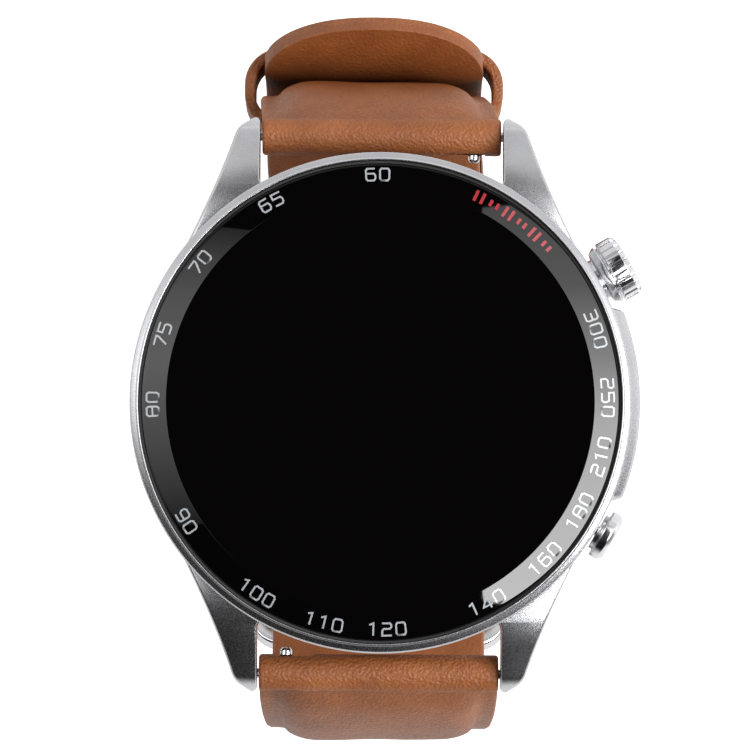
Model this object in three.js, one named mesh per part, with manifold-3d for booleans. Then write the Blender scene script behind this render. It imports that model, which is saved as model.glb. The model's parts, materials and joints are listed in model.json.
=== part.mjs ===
// A round smartwatch on a buckled leather strap, as an assembly of separate parts.
// Millimetres. +Z comes out of the glass, +Y points to 12 o'clock, +X to 3 o'clock.
// The origin is the centre of the flat sensor window on the case back.

import * as THREE from 'three';
import { mergeVertices } from 'three/addons/utils/BufferGeometryUtils.js';
import Module from 'manifold-3d';

const wasm = await Module();
wasm.setup();

// ---------- Driving dimensions ----------

const CASE_RADIUS = 22.6;
const CASE_BOTTOM = 1.6;
const CASE_TOP = 9.0;
const CAVITY_RADIUS = 19.4;
const COVER_RADIUS = 20.9;
const BEZEL_RADIUS = 22.5;
const BEZEL_TOP = 10.6;
const GLASS_RADIUS = 21.5;
const GLASS_FLAT_RADIUS = 19.25;
const GLASS_TOP = 10.9;
const WINDOW_RADIUS = 11.0;
const PANEL_RADIUS = 18.9;
const BOARD_RADIUS = 15.8;
const BACK_SEAT = 2.6;
const CONTACT_X = 2;
const CONTACT_Y = -14.5;

const GUARD_RADIUS = 23.45;
const GUARD_HALF_ANGLE = 22;
const CROWN_ANGLE = 30;
const PUSHER_ANGLE = -30;
const BUTTON_HEIGHT = 5.6;
const CROWN_BAND_RADIUS = 2.95;
const CROWN_FLUTES = 22;
const PUSHER_CAP_RADIUS = 2.3;

const LUG_GAP = 22.1;
const LUG_TIP = 26.1;
const LUG_TOP = 8.6;
const BAR_Y = 24.43;
const BAR_Z = 3.2;
const BAR_RADIUS = 0.75;
const PIN_RADIUS = 0.45;
const PIN_REACH = 12.1;
const TUBE_REACH = 10.2;
const KNOB_X = 8.4;
const KNOB_Y = 22.3;
const RELEASE_TRAVEL = 1.5;

const ROLL_RADIUS = 1.75;
const TUNNEL_RADIUS = 0.95;
const ROOT_HALF_WIDTH = 10.85;
const SHOULDER_HALF_WIDTH = 10.4;
const STRAP_HALF_WIDTH = 10.2;
const PADDED_HALF = 1.75;
const FLAT_HALF = 1.2;
const LAYER_GAP = 0.1;
const FLEX_AT = 0.65;
const FLEX_HALF_GAP = 0.015;

const LOOP_RADIUS = 30.7;
const LOOP_CENTRE_Y = -1.5;
const LOOP_CENTRE_Z = -16;
const TAIL_RADIUS = 33.5;
const TAIL_HALF = 0.95;
const TIP_LENGTH = 6.4;
const BUCKLE_ANGLE = -109;
const CROSSING_SWEEP = 23;
const BUCKLE_ROLL_RADIUS = 1.6;
const BUCKLE_LENGTH = 11.2;
const BUCKLE_TURN = 9.5;
const BUCKLE_INSIDE = STRAP_HALF_WIDTH + 0.6;
const BUCKLE_OUTSIDE = BUCKLE_INSIDE + 1.7;
const BUCKLE_EAR = -1.3;

const KEEPER_HALF_WIDTH = 11.9;
const KEEPER_WALL = 1.0;
const KEEPER_LENGTH = 7.0;
const KEEPER_GAP_INSIDE = 0.3;
const KEEPER_GAP_OUTSIDE = 0.45;
const FREE_KEEPER_ANGLE = -3;
const FREE_KEEPER_STRAP_HALF = 1.5;
const FIXED_KEEPER_ANGLE = BUCKLE_ANGLE + 15;

const FINE = 72;
const MEDIUM = 32;
const COARSE = 16;

// ---------- Materials ----------

const metal = (color, roughness) =>
  new THREE.MeshStandardMaterial({ color, roughness, metalness: 1 });
const plain = (color, roughness) =>
  new THREE.MeshStandardMaterial({ color, roughness, metalness: 0 });

const BLASTED = metal(0xb4b6ba, 0.45);
const POLISHED = metal(0xd0d2d6, 0.15);
const STEEL = metal(0x9a9ca0, 0.3);
const GLASS = plain(0x050506, 0.05);
const RUBBER = plain(0x151515, 0.8);
const PLASTIC = plain(0x202226, 0.6);
const BOARD = plain(0x1d5a35, 0.6);
const FOIL = metal(0xa0a4aa, 0.4);
const GOLD = metal(0xd9a441, 0.3);
const LEATHER = plain(0x8a4f26, 0.65);
const LINING = plain(0x5c3820, 0.8);

// ---------- Small helpers ----------

const degrees = (angle) => (angle * Math.PI) / 180;

function solid(geometry) {
  const bare = new THREE.BufferGeometry();
  bare.setAttribute('position', geometry.getAttribute('position'));
  bare.setIndex(geometry.getIndex());
  const merged = mergeVertices(bare, 1e-4);
  return new wasm.Manifold(new wasm.Mesh({
    numProp: 3,
    vertProperties: new Float32Array(merged.getAttribute('position').array),
    triVerts: new Uint32Array(merged.getIndex().array),
  }));
}

function geometryOf(manifold) {
  const mesh = manifold.getMesh();
  const geometry = new THREE.BufferGeometry();
  geometry.setAttribute('position', new THREE.BufferAttribute(mesh.vertProperties, 3));
  geometry.setIndex(new THREE.BufferAttribute(mesh.triVerts, 1));
  return geometry;
}

const join = (...geometries) =>
  geometryOf(geometries.map(solid).reduce((whole, piece) => whole.add(piece)));

const cut = (body, ...tools) =>
  geometryOf(tools.map(solid).reduce((rest, tool) => rest.subtract(tool), solid(body)));

const common = (a, b) => geometryOf(solid(a).intersect(solid(b)));

// A turned solid about Z from [radius, z] points. A ring's profile closes on itself.
function turned(profile, segments = MEDIUM) {
  const points = profile.map(([radius, z]) => new THREE.Vector2(radius, z));
  const onAxis = profile[0][0] === 0;
  if (!onAxis) points.push(points[0].clone());
  const area = points.reduce((sum, point, i) => {
    const next = points[(i + 1) % points.length];
    return sum + point.x * next.y - next.x * point.y;
  }, 0);
  if (area < 0) points.reverse();
  return new THREE.LatheGeometry(points, segments).rotateX(Math.PI / 2);
}

const disc = (radius, low, high, segments) =>
  turned([[0, low], [radius, low], [radius, high], [0, high]], segments);

const ring = (inner, outer, low, high, segments) =>
  turned([[inner, low], [outer, low], [outer, high], [inner, high]], segments);

const box = (sizeX, sizeY, sizeZ, x, y, z) =>
  new THREE.BoxGeometry(sizeX, sizeY, sizeZ).translate(x, y, z);

function outline(points) {
  return new THREE.Shape(points.map(([x, y]) => new THREE.Vector2(x, y)));
}

function plate(shape, low, high, curveSegments = 12) {
  const options = { depth: high - low, bevelEnabled: false, curveSegments };
  return new THREE.ExtrudeGeometry(shape, options).translate(0, 0, low);
}

// A turned solid whose own axis is moved from Z to X.
const alongX = (geometry, y = 0, z = 0) =>
  geometry.rotateY(Math.PI / 2).translate(0, y, z);

// A helix of round wire about Z.
function coil(radius, wire, low, high, turns) {
  class Helix extends THREE.Curve {
    getPoint(t, target = new THREE.Vector3()) {
      const angle = t * turns * 2 * Math.PI;
      const z = low + wire + t * (high - low - 2 * wire);
      return target.set(radius * Math.cos(angle), radius * Math.sin(angle), z);
    }
  }
  const section = new THREE.Shape().absarc(0, 0, wire, 0, 2 * Math.PI);
  return new THREE.ExtrudeGeometry(section, {
    extrudePath: new Helix(), steps: turns * 8, curveSegments: 2, bevelEnabled: false,
  });
}

const group = new THREE.Group();

function add(name, geometry, material, parent = group) {
  const mesh = new THREE.Mesh(geometry, material);
  mesh.name = name;
  parent.add(mesh);
  return mesh;
}

// A group whose local Z runs outward through the case wall at a clock angle.
function radialGroup(angle) {
  const radial = new THREE.Group();
  radial.rotation.set(0, Math.PI / 2, degrees(angle), 'ZYX');
  radial.position.z = BUTTON_HEIGHT;
  group.add(radial);
  return radial;
}

const radialTool = (geometry, angle) =>
  geometry.rotateY(Math.PI / 2).rotateZ(degrees(angle)).translate(0, 0, BUTTON_HEIGHT);

// ---------- Case ----------

function lug() {
  const inner = LUG_GAP / 2;
  const plan = new THREE.Shape();
  plan.moveTo(inner, 15);
  plan.lineTo(inner, LUG_TIP - 0.5);
  plan.quadraticCurveTo(inner, LUG_TIP, inner + 0.4, LUG_TIP);
  plan.lineTo(12.5, 25.5);
  plan.quadraticCurveTo(13.1, 25.1, 13.3, 24.5);
  plan.quadraticCurveTo(15.0, 19.4, 17.5, 14.6);
  plan.lineTo(15, 13);
  plan.closePath();
  const side = new THREE.Shape();
  side.moveTo(13, 2.2);
  side.lineTo(21, 1.8);
  side.lineTo(24.2, 1.1);
  side.quadraticCurveTo(26.1, 1.0, LUG_TIP, 3.2);
  side.quadraticCurveTo(LUG_TIP, 5.0, 24.9, 6.3);
  side.quadraticCurveTo(22.6, LUG_TOP, 19.0, LUG_TOP);
  side.lineTo(13, LUG_TOP);
  side.closePath();
  const slab = plate(side, 9, 19, 5).rotateX(Math.PI / 2).rotateZ(Math.PI / 2);
  return common(plate(plan, 0, 10, 4), slab);
}

function caseBody() {
  return turned([
    [COVER_RADIUS + 0.3, CASE_BOTTOM], [21.5, 2.3], [22.0, 3.8], [22.5, 5.2],
    [CASE_RADIUS, 6.0], [CASE_RADIUS, 8.6], [22.3, CASE_TOP], [18, CASE_TOP], [18, CASE_BOTTOM],
  ], FINE);
}

function crownGuard() {
  const half = degrees(GUARD_HALF_ANGLE);
  const step = degrees(2);
  const shape = new THREE.Shape();
  shape.absarc(0, 0, GUARD_RADIUS, -half, half);
  shape.lineTo(CASE_RADIUS * Math.cos(half + step), CASE_RADIUS * Math.sin(half + step));
  shape.absarc(0, 0, 20, half + step, -half - step, true);
  shape.lineTo(CASE_RADIUS * Math.cos(half + step), -CASE_RADIUS * Math.sin(half + step));
  shape.closePath();
  const limit = turned([
    [0, 3.4], [22.2, 3.4], [GUARD_RADIUS, 4.6], [GUARD_RADIUS + 1, 6.6],
    [22.9, 8.4], [22.4, 8.7], [0, 8.7],
  ], FINE);
  return common(plate(shape, 3, 9, 9), limit);
}

const BOSS_ANGLES = [15, 75, 195, 255];
const BOSS_RADIUS = 18.2;
const SCREW_HOLE_RADIUS = 0.75;

function atAngle(geometry, radius, angle) {
  return geometry.translate(radius * Math.cos(degrees(angle)), radius * Math.sin(degrees(angle)), 0);
}

function makeMidCase() {
  const bosses = BOSS_ANGLES.map((angle) =>
    atAngle(disc(1.7, BACK_SEAT, 5.6, COARSE), BOSS_RADIUS, angle));
  const outside = join(caseBody(), crownGuard(), ...[[1, 1], [-1, 1], [1, -1], [-1, -1]].map(
    ([signX, signY]) => mirroredLug(signX, signY)));
  const hollow = disc(CAVITY_RADIUS, 0, 12, FINE);
  const recess = disc(COVER_RADIUS - 0.2, 0, BACK_SEAT, FINE);
  const walls = join(cut(outside, hollow, recess), ...bosses);
  const screwHoles = BOSS_ANGLES.map((angle) =>
    atAngle(disc(SCREW_HOLE_RADIUS, 0, 5.2, COARSE), BOSS_RADIUS, angle));
  const pinHoles = [1, -1].map((sign) =>
    alongX(disc(0.75, -PIN_REACH - 0.55, PIN_REACH + 0.55, COARSE), sign * BAR_Y, BAR_Z));
  const buttonHoles = [
    radialTool(disc(1.7, 18, 24, COARSE), CROWN_ANGLE),
    radialTool(disc(2.2, 21.9, 25, COARSE), CROWN_ANGLE),
    radialTool(disc(1.6, 18, 24, COARSE), PUSHER_ANGLE),
    radialTool(disc(1.95, 21.9, 25, COARSE), PUSHER_ANGLE),
  ];
  return cut(walls, ...screwHoles, ...pinHoles, ...buttonHoles);
}

function mirroredLug(signX, signY) {
  let piece = solid(lug());
  if (signX < 0) piece = piece.mirror([1, 0, 0]);
  if (signY < 0) piece = piece.mirror([0, 1, 0]);
  return geometryOf(piece);
}

function makeCaseAndGlass() {
  add('mid_case', makeMidCase(), BLASTED);
  add('bezel_ring', turned([
    [21.75, 9.05], [BEZEL_RADIUS, 9.05], [BEZEL_RADIUS, 10.3], [22.3, BEZEL_TOP],
    [21.95, BEZEL_TOP], [21.75, 10.4],
  ], FINE), BLASTED);
  add('cover_glass', turned([
    [0, 9.35], [GLASS_RADIUS, 9.35], [GLASS_RADIUS, 10.2], [GLASS_FLAT_RADIUS, GLASS_TOP],
    [0, GLASS_TOP],
  ], FINE), GLASS);
  add('glass_gasket', ring(19.6, 21.3, 9.05, 9.3), RUBBER);
}

// ---------- Inside the case ----------

function makeInside() {
  add('display_panel', disc(PANEL_RADIUS, 8.1, 9.25), GLASS);
  const buttonBays = [CROWN_ANGLE, PUSHER_ANGLE].map((angle) =>
    box(8, 5, 6, 17.2, 0, 6).rotateZ(degrees(angle)));
  add('inner_frame', cut(disc(PANEL_RADIUS, 6.7, 7.8), ...buttonBays), PLASTIC);
  add('main_board', cut(disc(BOARD_RADIUS, 5.75, 6.45), ...buttonBays), BOARD);
  add('battery', box(21, 17, 2.6, -3, 0, 4.1), FOIL);
  add('vibration_motor', atAngle(disc(4.0, 2.7, 5.4, COARSE), 13.6, 105), STEEL);
  add('speaker', box(9, 6, 2.6, -3, -12.2, 4.1), PLASTIC);
  add('sensor_board', disc(10.4, 1.35, 1.95), BOARD);
}

function makeCaseBack() {
  const contacts = [-CONTACT_X, CONTACT_X];
  const contactHoles = contacts.map((x) => disc(1.15, 0, 5, COARSE).translate(x, CONTACT_Y, 0));
  const screwHoles = BOSS_ANGLES.map((angle) => atAngle(turned([
    [0, 0], [1.5, 0], [1.5, 1.35], [SCREW_HOLE_RADIUS, 1.35], [SCREW_HOLE_RADIUS, 4], [0, 4],
  ], COARSE), BOSS_RADIUS, angle));
  const cover = turned([
    [11.3, 1.3], [11.3, 0.5], [18.6, 0.75], [COVER_RADIUS - 0.5, 1.6], [COVER_RADIUS - 0.5, 2.2],
    [10.8, 2.2], [10.8, 1.3],
  ]);
  add('rear_cover', cut(cover, ...contactHoles, ...screwHoles), STEEL);
  add('sensor_window', turned([[0, 0], [10.2, 0], [WINDOW_RADIUS, 0.4], [WINDOW_RADIUS, 1.1],
    [0, 1.1]]), GLASS);
  add('rear_gasket', ring(19.65, 20.3, 2.25, 2.55), RUBBER);
  contacts.forEach((x, index) => {
    const pad = disc(0.95, 0.55, 2.6, COARSE).translate(x, CONTACT_Y, 0);
    add(`charging_contact_${'ab'[index]}`, pad, GOLD);
  });
  BOSS_ANGLES.forEach((angle, index) => {
    const screw = turned([
      [0, 0.7], [1.2, 0.7], [1.2, 1.3], [0.55, 1.3], [0.55, 5.0], [0, 5.0],
    ], COARSE);
    add(`case_back_screw_${index + 1}`, atAngle(screw, BOSS_RADIUS, angle), STEEL);
  });
}

// ---------- Crown and pusher ----------
// Profiles run along the button's own axis, measured from the centre of the case.

function flutedBand(low, high, taper) {
  const points = [];
  const perFlute = 4;
  for (let i = 0; i < CROWN_FLUTES * perFlute; i += 1) {
    const depth = [0, 0, 0.2, 0.2][i % perFlute];
    const angle = (i / (CROWN_FLUTES * perFlute)) * 2 * Math.PI;
    points.push([(CROWN_BAND_RADIUS - depth) * Math.cos(angle),
      (CROWN_BAND_RADIUS - depth) * Math.sin(angle)]);
  }
  const edge = turned([[0, low], [CROWN_BAND_RADIUS + 0.1, low],
    [CROWN_BAND_RADIUS + 0.1, high - taper], [2.35, high], [0, high]], MEDIUM);
  return common(plate(outline(points), low, high), edge);
}

function makeCrown() {
  const axis = radialGroup(CROWN_ANGLE);
  const capBody = turned([
    [0, 22.45], [1.95, 22.45], [1.95, 22.95], [2.5, 23.05], [2.85, 23.75], [2.6, 23.8],
    [2.6, 24.4], [0, 24.4],
  ], MEDIUM);
  const shaftSocket = disc(1.0, 20, 24.3, COARSE);
  add('crown_cap', cut(join(capBody, flutedBand(23.75, 25.9, 0.5)), shaftSocket), POLISHED, axis);
  add('crown_shaft', turned([[0, 18.1], [0.75, 18.1], [0.75, 18.6], [0.55, 18.6], [0.55, 19.0],
    [0.75, 19.0], [0.75, 20.7], [0.6, 20.7], [0.6, 21.1], [0.75, 21.1], [0.75, 24.2], [0, 24.2]],
  COARSE), STEEL, axis);
  add('crown_tube', turned([[0.9, 21.4], [1.2, 21.4], [1.2, 19.5], [1.5, 19.5], [1.5, 22.0],
    [0.9, 22.0]], COARSE), STEEL, axis);
  add('crown_o_ring', ring(0.66, 1.12, 20.76, 21.04, COARSE), RUBBER, axis);
  add('crown_clip', cut(ring(0.65, 1.9, 18.65, 18.95, COARSE),
    box(0.9, 4, 1, 0, 2, 18.8)), STEEL, axis);
  add('crown_push_plate', box(2.4, 2.4, 0.4, 0, 0, 17.7), STEEL, axis);
  add('crown_switch', box(2.8, 3.4, 2.2, 0, 0, 15.9), PLASTIC, axis);
}

function makePusher() {
  const axis = radialGroup(PUSHER_ANGLE);
  add('pusher_cap', turned([
    [0, 17.9], [0.5, 17.9], [0.5, 18.6], [0.4, 18.6], [0.4, 18.9], [0.5, 18.9], [0.5, 20.2],
    [0.42, 20.2], [0.42, 20.5], [0.5, 20.5], [0.5, 22.75], [1.7, 22.75], [1.7, 23.1],
    [2.15, 23.1], [PUSHER_CAP_RADIUS, 23.25], [PUSHER_CAP_RADIUS, 24.0], [1.9, 24.35], [0, 24.45],
  ], COARSE), POLISHED, axis);
  add('pusher_tube', turned([[0.58, 20.7], [0.95, 20.7], [0.95, 19.5], [1.4, 19.5], [1.4, 22.2],
    [1.15, 22.2], [1.15, 21.1], [0.58, 21.1]], COARSE), STEEL, axis);
  add('pusher_o_ring', ring(0.46, 0.88, 20.24, 20.46, COARSE), RUBBER, axis);
  add('pusher_spring', coil(0.82, 0.12, 21.12, 22.72, 3), STEEL, axis);
  add('pusher_clip', cut(ring(0.45, 1.3, 18.65, 18.85, COARSE),
    box(0.6, 3, 1, 0, 1.5, 18.75)), STEEL, axis);
  add('pusher_switch', box(2.8, 3.4, 2.2, 0, 0, 16.3), PLASTIC, axis);
}

// ---------- Spring bars ----------

function makeSpringBar(side, holder) {
  const name = (piece) => `spring_bar_${side}_${piece}`;
  const slot = box(2.6, 3, 0.9, KNOB_X - 0.65, BAR_Y - 1.5, BAR_Z);
  const tube = ring(0.56, BAR_RADIUS, -TUBE_REACH, TUBE_REACH, COARSE);
  add(name('tube'), cut(alongX(tube, BAR_Y, BAR_Z), slot), STEEL, holder);
  const fixedPin = turned([[0, -PIN_REACH], [PIN_RADIUS, 0.1 - PIN_REACH], [PIN_RADIUS, -8.6],
    [0, -8.6]], COARSE);
  add(name('fixed_pin'), alongX(fixedPin, BAR_Y, BAR_Z), STEEL, holder);
  const pin = turned([[0, 6.9], [PIN_RADIUS, 6.9], [PIN_RADIUS, PIN_REACH - 0.1],
    [0, PIN_REACH]], COARSE);
  const stem = new THREE.CylinderGeometry(0.28, 0.28, BAR_Y - KNOB_Y, 12)
    .translate(KNOB_X, (BAR_Y + KNOB_Y) / 2, BAR_Z);
  const knob = new THREE.SphereGeometry(0.52, 16, 10).translate(KNOB_X, KNOB_Y, BAR_Z);
  add(name('release_pin'), join(alongX(pin, BAR_Y, BAR_Z), stem, knob), POLISHED, holder);
  const spring = coil(0.4, 0.1, 1.9, 6.8, 5);
  add(name('coil'), alongX(spring, BAR_Y, BAR_Z), STEEL, holder);
}

// ---------- Strap ----------
// Strap layers are ribbons along a line in the (y, z) plane, between two offsets from that line.
// Positive offsets are on the side away from the wrist.

// From the spring bar, out and back to where the loop's arc starts.
const rootCurve = new THREE.CubicBezierCurve(
  new THREE.Vector2(BAR_Y, BAR_Z),
  new THREE.Vector2(27.1, -1.5),
  new THREE.Vector2(LOOP_CENTRE_Y + LOOP_RADIUS, -8),
  new THREE.Vector2(LOOP_CENTRE_Y + LOOP_RADIUS, LOOP_CENTRE_Z),
);

const onArc = (radius, angle) => new THREE.Vector2(
  LOOP_CENTRE_Y + radius * Math.cos(degrees(angle)),
  LOOP_CENTRE_Z + radius * Math.sin(degrees(angle)),
);

// The direction of travel along an arc toward falling angles.
const tangent = (angle) => new THREE.Vector2(Math.sin(degrees(angle)), -Math.cos(degrees(angle)));

function arcPoints(radius, from, to, count) {
  return Array.from({ length: count + 1 }, (_, i) => onArc(radius, from + ((to - from) * i) / count));
}

const curvePoints = (curve, from, to, count) =>
  Array.from({ length: count + 1 }, (_, i) => curve.getPoint(from + ((to - from) * i) / count));

// A closed strip through the stations. half, low and high are functions of the distance along it.
function ribbon(points, half, low, high) {
  const positions = [];
  const faces = [];
  let distance = 0;
  points.forEach((point, i) => {
    const before = points[Math.max(i - 1, 0)];
    const after = points[Math.min(i + 1, points.length - 1)];
    const along = after.clone().sub(before).normalize();
    const out = new THREE.Vector2(-along.y, along.x);
    if (i > 0) distance += point.distanceTo(points[i - 1]);
    const corners = [[-1, low], [1, low], [1, high], [-1, high]];
    corners.forEach(([side, offset]) => {
      const place = point.clone().addScaledVector(out, offset(distance));
      positions.push(side * half(distance), place.x, place.y);
    });
    if (i > 0) {
      const base = 4 * (i - 1);
      for (let side = 0; side < 4; side += 1) {
        const a = base + side;
        const b = base + ((side + 1) % 4);
        faces.push(a, b, b + 4, a, b + 4, a + 4);
      }
    }
  });
  const last = positions.length / 3 - 4;
  faces.push(0, 2, 1, 0, 3, 2, last, last + 1, last + 2, last, last + 2, last + 3);
  const geometry = new THREE.BufferGeometry();
  geometry.setAttribute('position', new THREE.Float32BufferAttribute(positions, 3));
  geometry.setIndex(faces);
  const volume = solid(geometry).volume();
  return volume < 0 ? flipped(geometry) : geometry;
}

function flipped(geometry) {
  const index = Array.from(geometry.getIndex().array);
  for (let i = 0; i < index.length; i += 3) [index[i], index[i + 1]] = [index[i + 1], index[i]];
  geometry.setIndex(index);
  return geometry;
}

const blend = (from, to, start, end) => (distance) =>
  from + (to - from) * THREE.MathUtils.smoothstep(distance, start, end);

const constant = (value) => () => value;

const rollTube = (radius, halfWidth, y, z) =>
  alongX(disc(radius, -halfWidth, halfWidth, COARSE), y, z);

// The part of a strap half that turns with its spring bar.
function makeRoot(side, holder) {
  const half = blend(ROOT_HALF_WIDTH, SHOULDER_HALF_WIDTH, 3, 13);
  const end = FLEX_AT - FLEX_HALF_GAP;
  const upper = ribbon(curvePoints(rootCurve, 0.08, end, 9), half,
    constant(LAYER_GAP), constant(PADDED_HALF));
  const wrapped = join(upper, rollTube(ROLL_RADIUS, ROOT_HALF_WIDTH, BAR_Y, BAR_Z));
  const tunnel = rollTube(TUNNEL_RADIUS, ROOT_HALF_WIDTH + 1, BAR_Y, BAR_Z);
  const notchWidth = RELEASE_TRAVEL + 1.5;
  const notch = box(notchWidth, 4, 1.5, KNOB_X - RELEASE_TRAVEL / 2, BAR_Y - 2, BAR_Z);
  add(`strap_${side}_upper_root`, cut(wrapped, tunnel, notch), LEATHER, holder);
  const lining = ribbon(curvePoints(rootCurve, 0.16, end, 8), half,
    constant(-PADDED_HALF), constant(-LAYER_GAP));
  add(`strap_${side}_lining_root`, lining, LINING, holder);
}

function makeShortStrap() {
  const start = curvePoints(rootCurve, FLEX_AT + FLEX_HALF_GAP, 1, 7);
  const half = blend(SHOULDER_HALF_WIDTH, STRAP_HALF_WIDTH, 0, 10);
  const thick = blend(PADDED_HALF, FLAT_HALF, 0, 8);
  const upperEnd = BUCKLE_ANGLE + 2;
  const upper = ribbon([...start, ...arcPoints(LOOP_RADIUS, -3, upperEnd, 36)], half,
    constant(LAYER_GAP), thick);
  const bar = onArc(LOOP_RADIUS, BUCKLE_ANGLE);
  const roll = rollTube(BUCKLE_ROLL_RADIUS, STRAP_HALF_WIDTH, bar.x, bar.y);
  const tunnel = rollTube(TUNNEL_RADIUS, STRAP_HALF_WIDTH + 1, bar.x, bar.y);
  const tangSlot = box(2.8, 6, 4.4, 0, bar.x, bar.y);
  add('strap_12_upper', cut(join(upper, roll), tunnel, tangSlot), LEATHER);
  const liningEnd = BUCKLE_ANGLE + 6;
  add('strap_12_lining', ribbon([...start, ...arcPoints(LOOP_RADIUS, -3, liningEnd, 34)], half,
    (distance) => -thick(distance), constant(-LAYER_GAP)), LINING);
}

const mirrorY = (point) => new THREE.Vector2(-point.x, point.y);

// From the tip, round the outside of the short half, through the buckle and up to the 6 side.
function longStrapLine() {
  const tailStart = onArc(TAIL_RADIUS, 0);
  const flare = new THREE.CubicBezierCurve(new THREE.Vector2(35.8, -7.5),
    new THREE.Vector2(33.8, -9.8), new THREE.Vector2(tailStart.x, -12.2), tailStart);
  const overBar = onArc(TAIL_RADIUS, BUCKLE_ANGLE);
  const risingAngle = CROSSING_SWEEP - 180 - BUCKLE_ANGLE;
  const underFrame = mirrorY(onArc(LOOP_RADIUS, risingAngle));
  const crossing = new THREE.CubicBezierCurve(overBar,
    overBar.clone().addScaledVector(tangent(BUCKLE_ANGLE), 4.2),
    underFrame.clone().addScaledVector(tangent(-180 - risingAngle), -4.5), underFrame);
  return [
    ...curvePoints(flare, 0, 1, 14),
    ...arcPoints(TAIL_RADIUS, -3, BUCKLE_ANGLE, 36),
    ...curvePoints(crossing, 0.1, 1, 9),
    ...arcPoints(LOOP_RADIUS, risingAngle + 4, 0, 12).map(mirrorY),
    ...curvePoints(rootCurve, 0.95, FLEX_AT + FLEX_HALF_GAP, 6).map(mirrorY),
  ];
}

function makeLongStrap(tangRoom) {
  const line = longStrapLine();
  const length = line.slice(1).reduce((sum, point, i) => sum + point.distanceTo(line[i]), 0);
  const half = (distance) => {
    const fromEdge = Math.min(1, (distance + 0.05) / TIP_LENGTH);
    const tip = STRAP_HALF_WIDTH * Math.sqrt(1 - (1 - fromEdge) ** 2);
    const width = blend(STRAP_HALF_WIDTH, SHOULDER_HALF_WIDTH, length - 10, length);
    return distance < TIP_LENGTH ? tip : width(distance);
  };
  const thick = blend(TAIL_HALF, PADDED_HALF, length - 16, length - 3);
  const upper = ribbon(line, half, constant(LAYER_GAP), thick);
  const lining = ribbon(line, half, (distance) => -thick(distance), constant(-LAYER_GAP));
  add('strap_6_upper', cut(upper, tangRoom), LEATHER);
  add('strap_6_lining', cut(lining, tangRoom), LINING);
}

// ---------- Buckle and keepers ----------
// In the buckle's own frame X is across the strap, Y runs from the bar to the front of the
// frame and Z points away from the wrist.

function inBuckle(geometry) {
  const bar = onArc(LOOP_RADIUS, BUCKLE_ANGLE);
  const angle = degrees(BUCKLE_ANGLE - 90 - BUCKLE_TURN);
  return geometry.rotateX(angle).translate(0, bar.x, bar.y);
}

const tangLine = [[0.9, 0.1], [4, 0.45], [8, 1.05], [10.4, 1.5], [12.6, 1.55]]
  .map(([along, out]) => new THREE.Vector2(along, out));

function makeBuckle() {
  const inside = BUCKLE_INSIDE;
  const outside = BUCKLE_OUTSIDE;
  const shape = new THREE.Shape();
  shape.moveTo(-inside, BUCKLE_EAR);
  shape.lineTo(-inside, BUCKLE_LENGTH - 1);
  shape.lineTo(inside, BUCKLE_LENGTH - 1);
  shape.lineTo(inside, BUCKLE_EAR);
  shape.lineTo(outside, BUCKLE_EAR);
  shape.lineTo(outside, BUCKLE_LENGTH - 1);
  shape.quadraticCurveTo(outside, BUCKLE_LENGTH + 1, outside - 2, BUCKLE_LENGTH + 1);
  shape.lineTo(2 - outside, BUCKLE_LENGTH + 1);
  shape.quadraticCurveTo(-outside, BUCKLE_LENGTH + 1, -outside, BUCKLE_LENGTH - 1);
  shape.lineTo(-outside, BUCKLE_EAR);
  shape.closePath();
  const earHoles = alongX(disc(0.6, -PIN_REACH - 0.1, PIN_REACH + 0.1, COARSE));
  add('buckle_frame', inBuckle(cut(plate(shape, -0.8, 0.8, 6), earHoles)), POLISHED);
  add('buckle_bar', inBuckle(alongX(turned([[0, 0.1 - PIN_REACH], [PIN_RADIUS, 0.1 - PIN_REACH],
    [PIN_RADIUS, -10.4], [BAR_RADIUS, -10.4], [BAR_RADIUS, 10.4], [PIN_RADIUS, 10.4],
    [PIN_RADIUS, PIN_REACH - 0.1], [0, PIN_REACH - 0.1]], COARSE))), STEEL);
  const eye = alongX(disc(1.35, -0.9, 0.9, COARSE));
  const tongue = ribbon(tangLine, constant(0.9), constant(-0.5), constant(0.5));
  const tang = cut(join(eye, tongue), alongX(disc(0.9, -2, 2, COARSE)));
  add('buckle_tang', inBuckle(tang), POLISHED);
  return inBuckle(ribbon(tangLine, constant(1.3), constant(-0.9), constant(1.5)));
}

function roundedRectangle(target, halfWidth, low, high, corner) {
  target.moveTo(corner - halfWidth, low);
  target.lineTo(halfWidth - corner, low);
  target.absarc(halfWidth - corner, low + corner, corner, -Math.PI / 2, 0);
  target.absarc(halfWidth - corner, high - corner, corner, 0, Math.PI / 2);
  target.absarc(corner - halfWidth, high - corner, corner, Math.PI / 2, Math.PI);
  target.absarc(corner - halfWidth, low + corner, corner, Math.PI, 1.5 * Math.PI);
  return target;
}

// A leather loop round both strap halves, at an angle on the loop's arc.
function keeper(name, angle, strapHalf) {
  const low = -strapHalf - KEEPER_GAP_INSIDE;
  const high = TAIL_RADIUS - LOOP_RADIUS + TAIL_HALF + KEEPER_GAP_OUTSIDE;
  const shape = roundedRectangle(new THREE.Shape(), KEEPER_HALF_WIDTH, low - KEEPER_WALL,
    high + KEEPER_WALL, 1.8);
  shape.holes.push(roundedRectangle(new THREE.Path(), KEEPER_HALF_WIDTH - KEEPER_WALL,
    low, high, 0.8));
  const loop = plate(shape, -KEEPER_LENGTH / 2, KEEPER_LENGTH / 2, 4).rotateX(Math.PI / 2);
  const place = onArc(LOOP_RADIUS, angle);
  const mesh = add(name, loop, LEATHER);
  mesh.rotation.x = degrees(angle - 90);
  mesh.position.set(0, place.x, place.y);
}

// ---------- Assembly ----------

makeCaseAndGlass();
makeInside();
makeCaseBack();
makeCrown();
makePusher();

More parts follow.
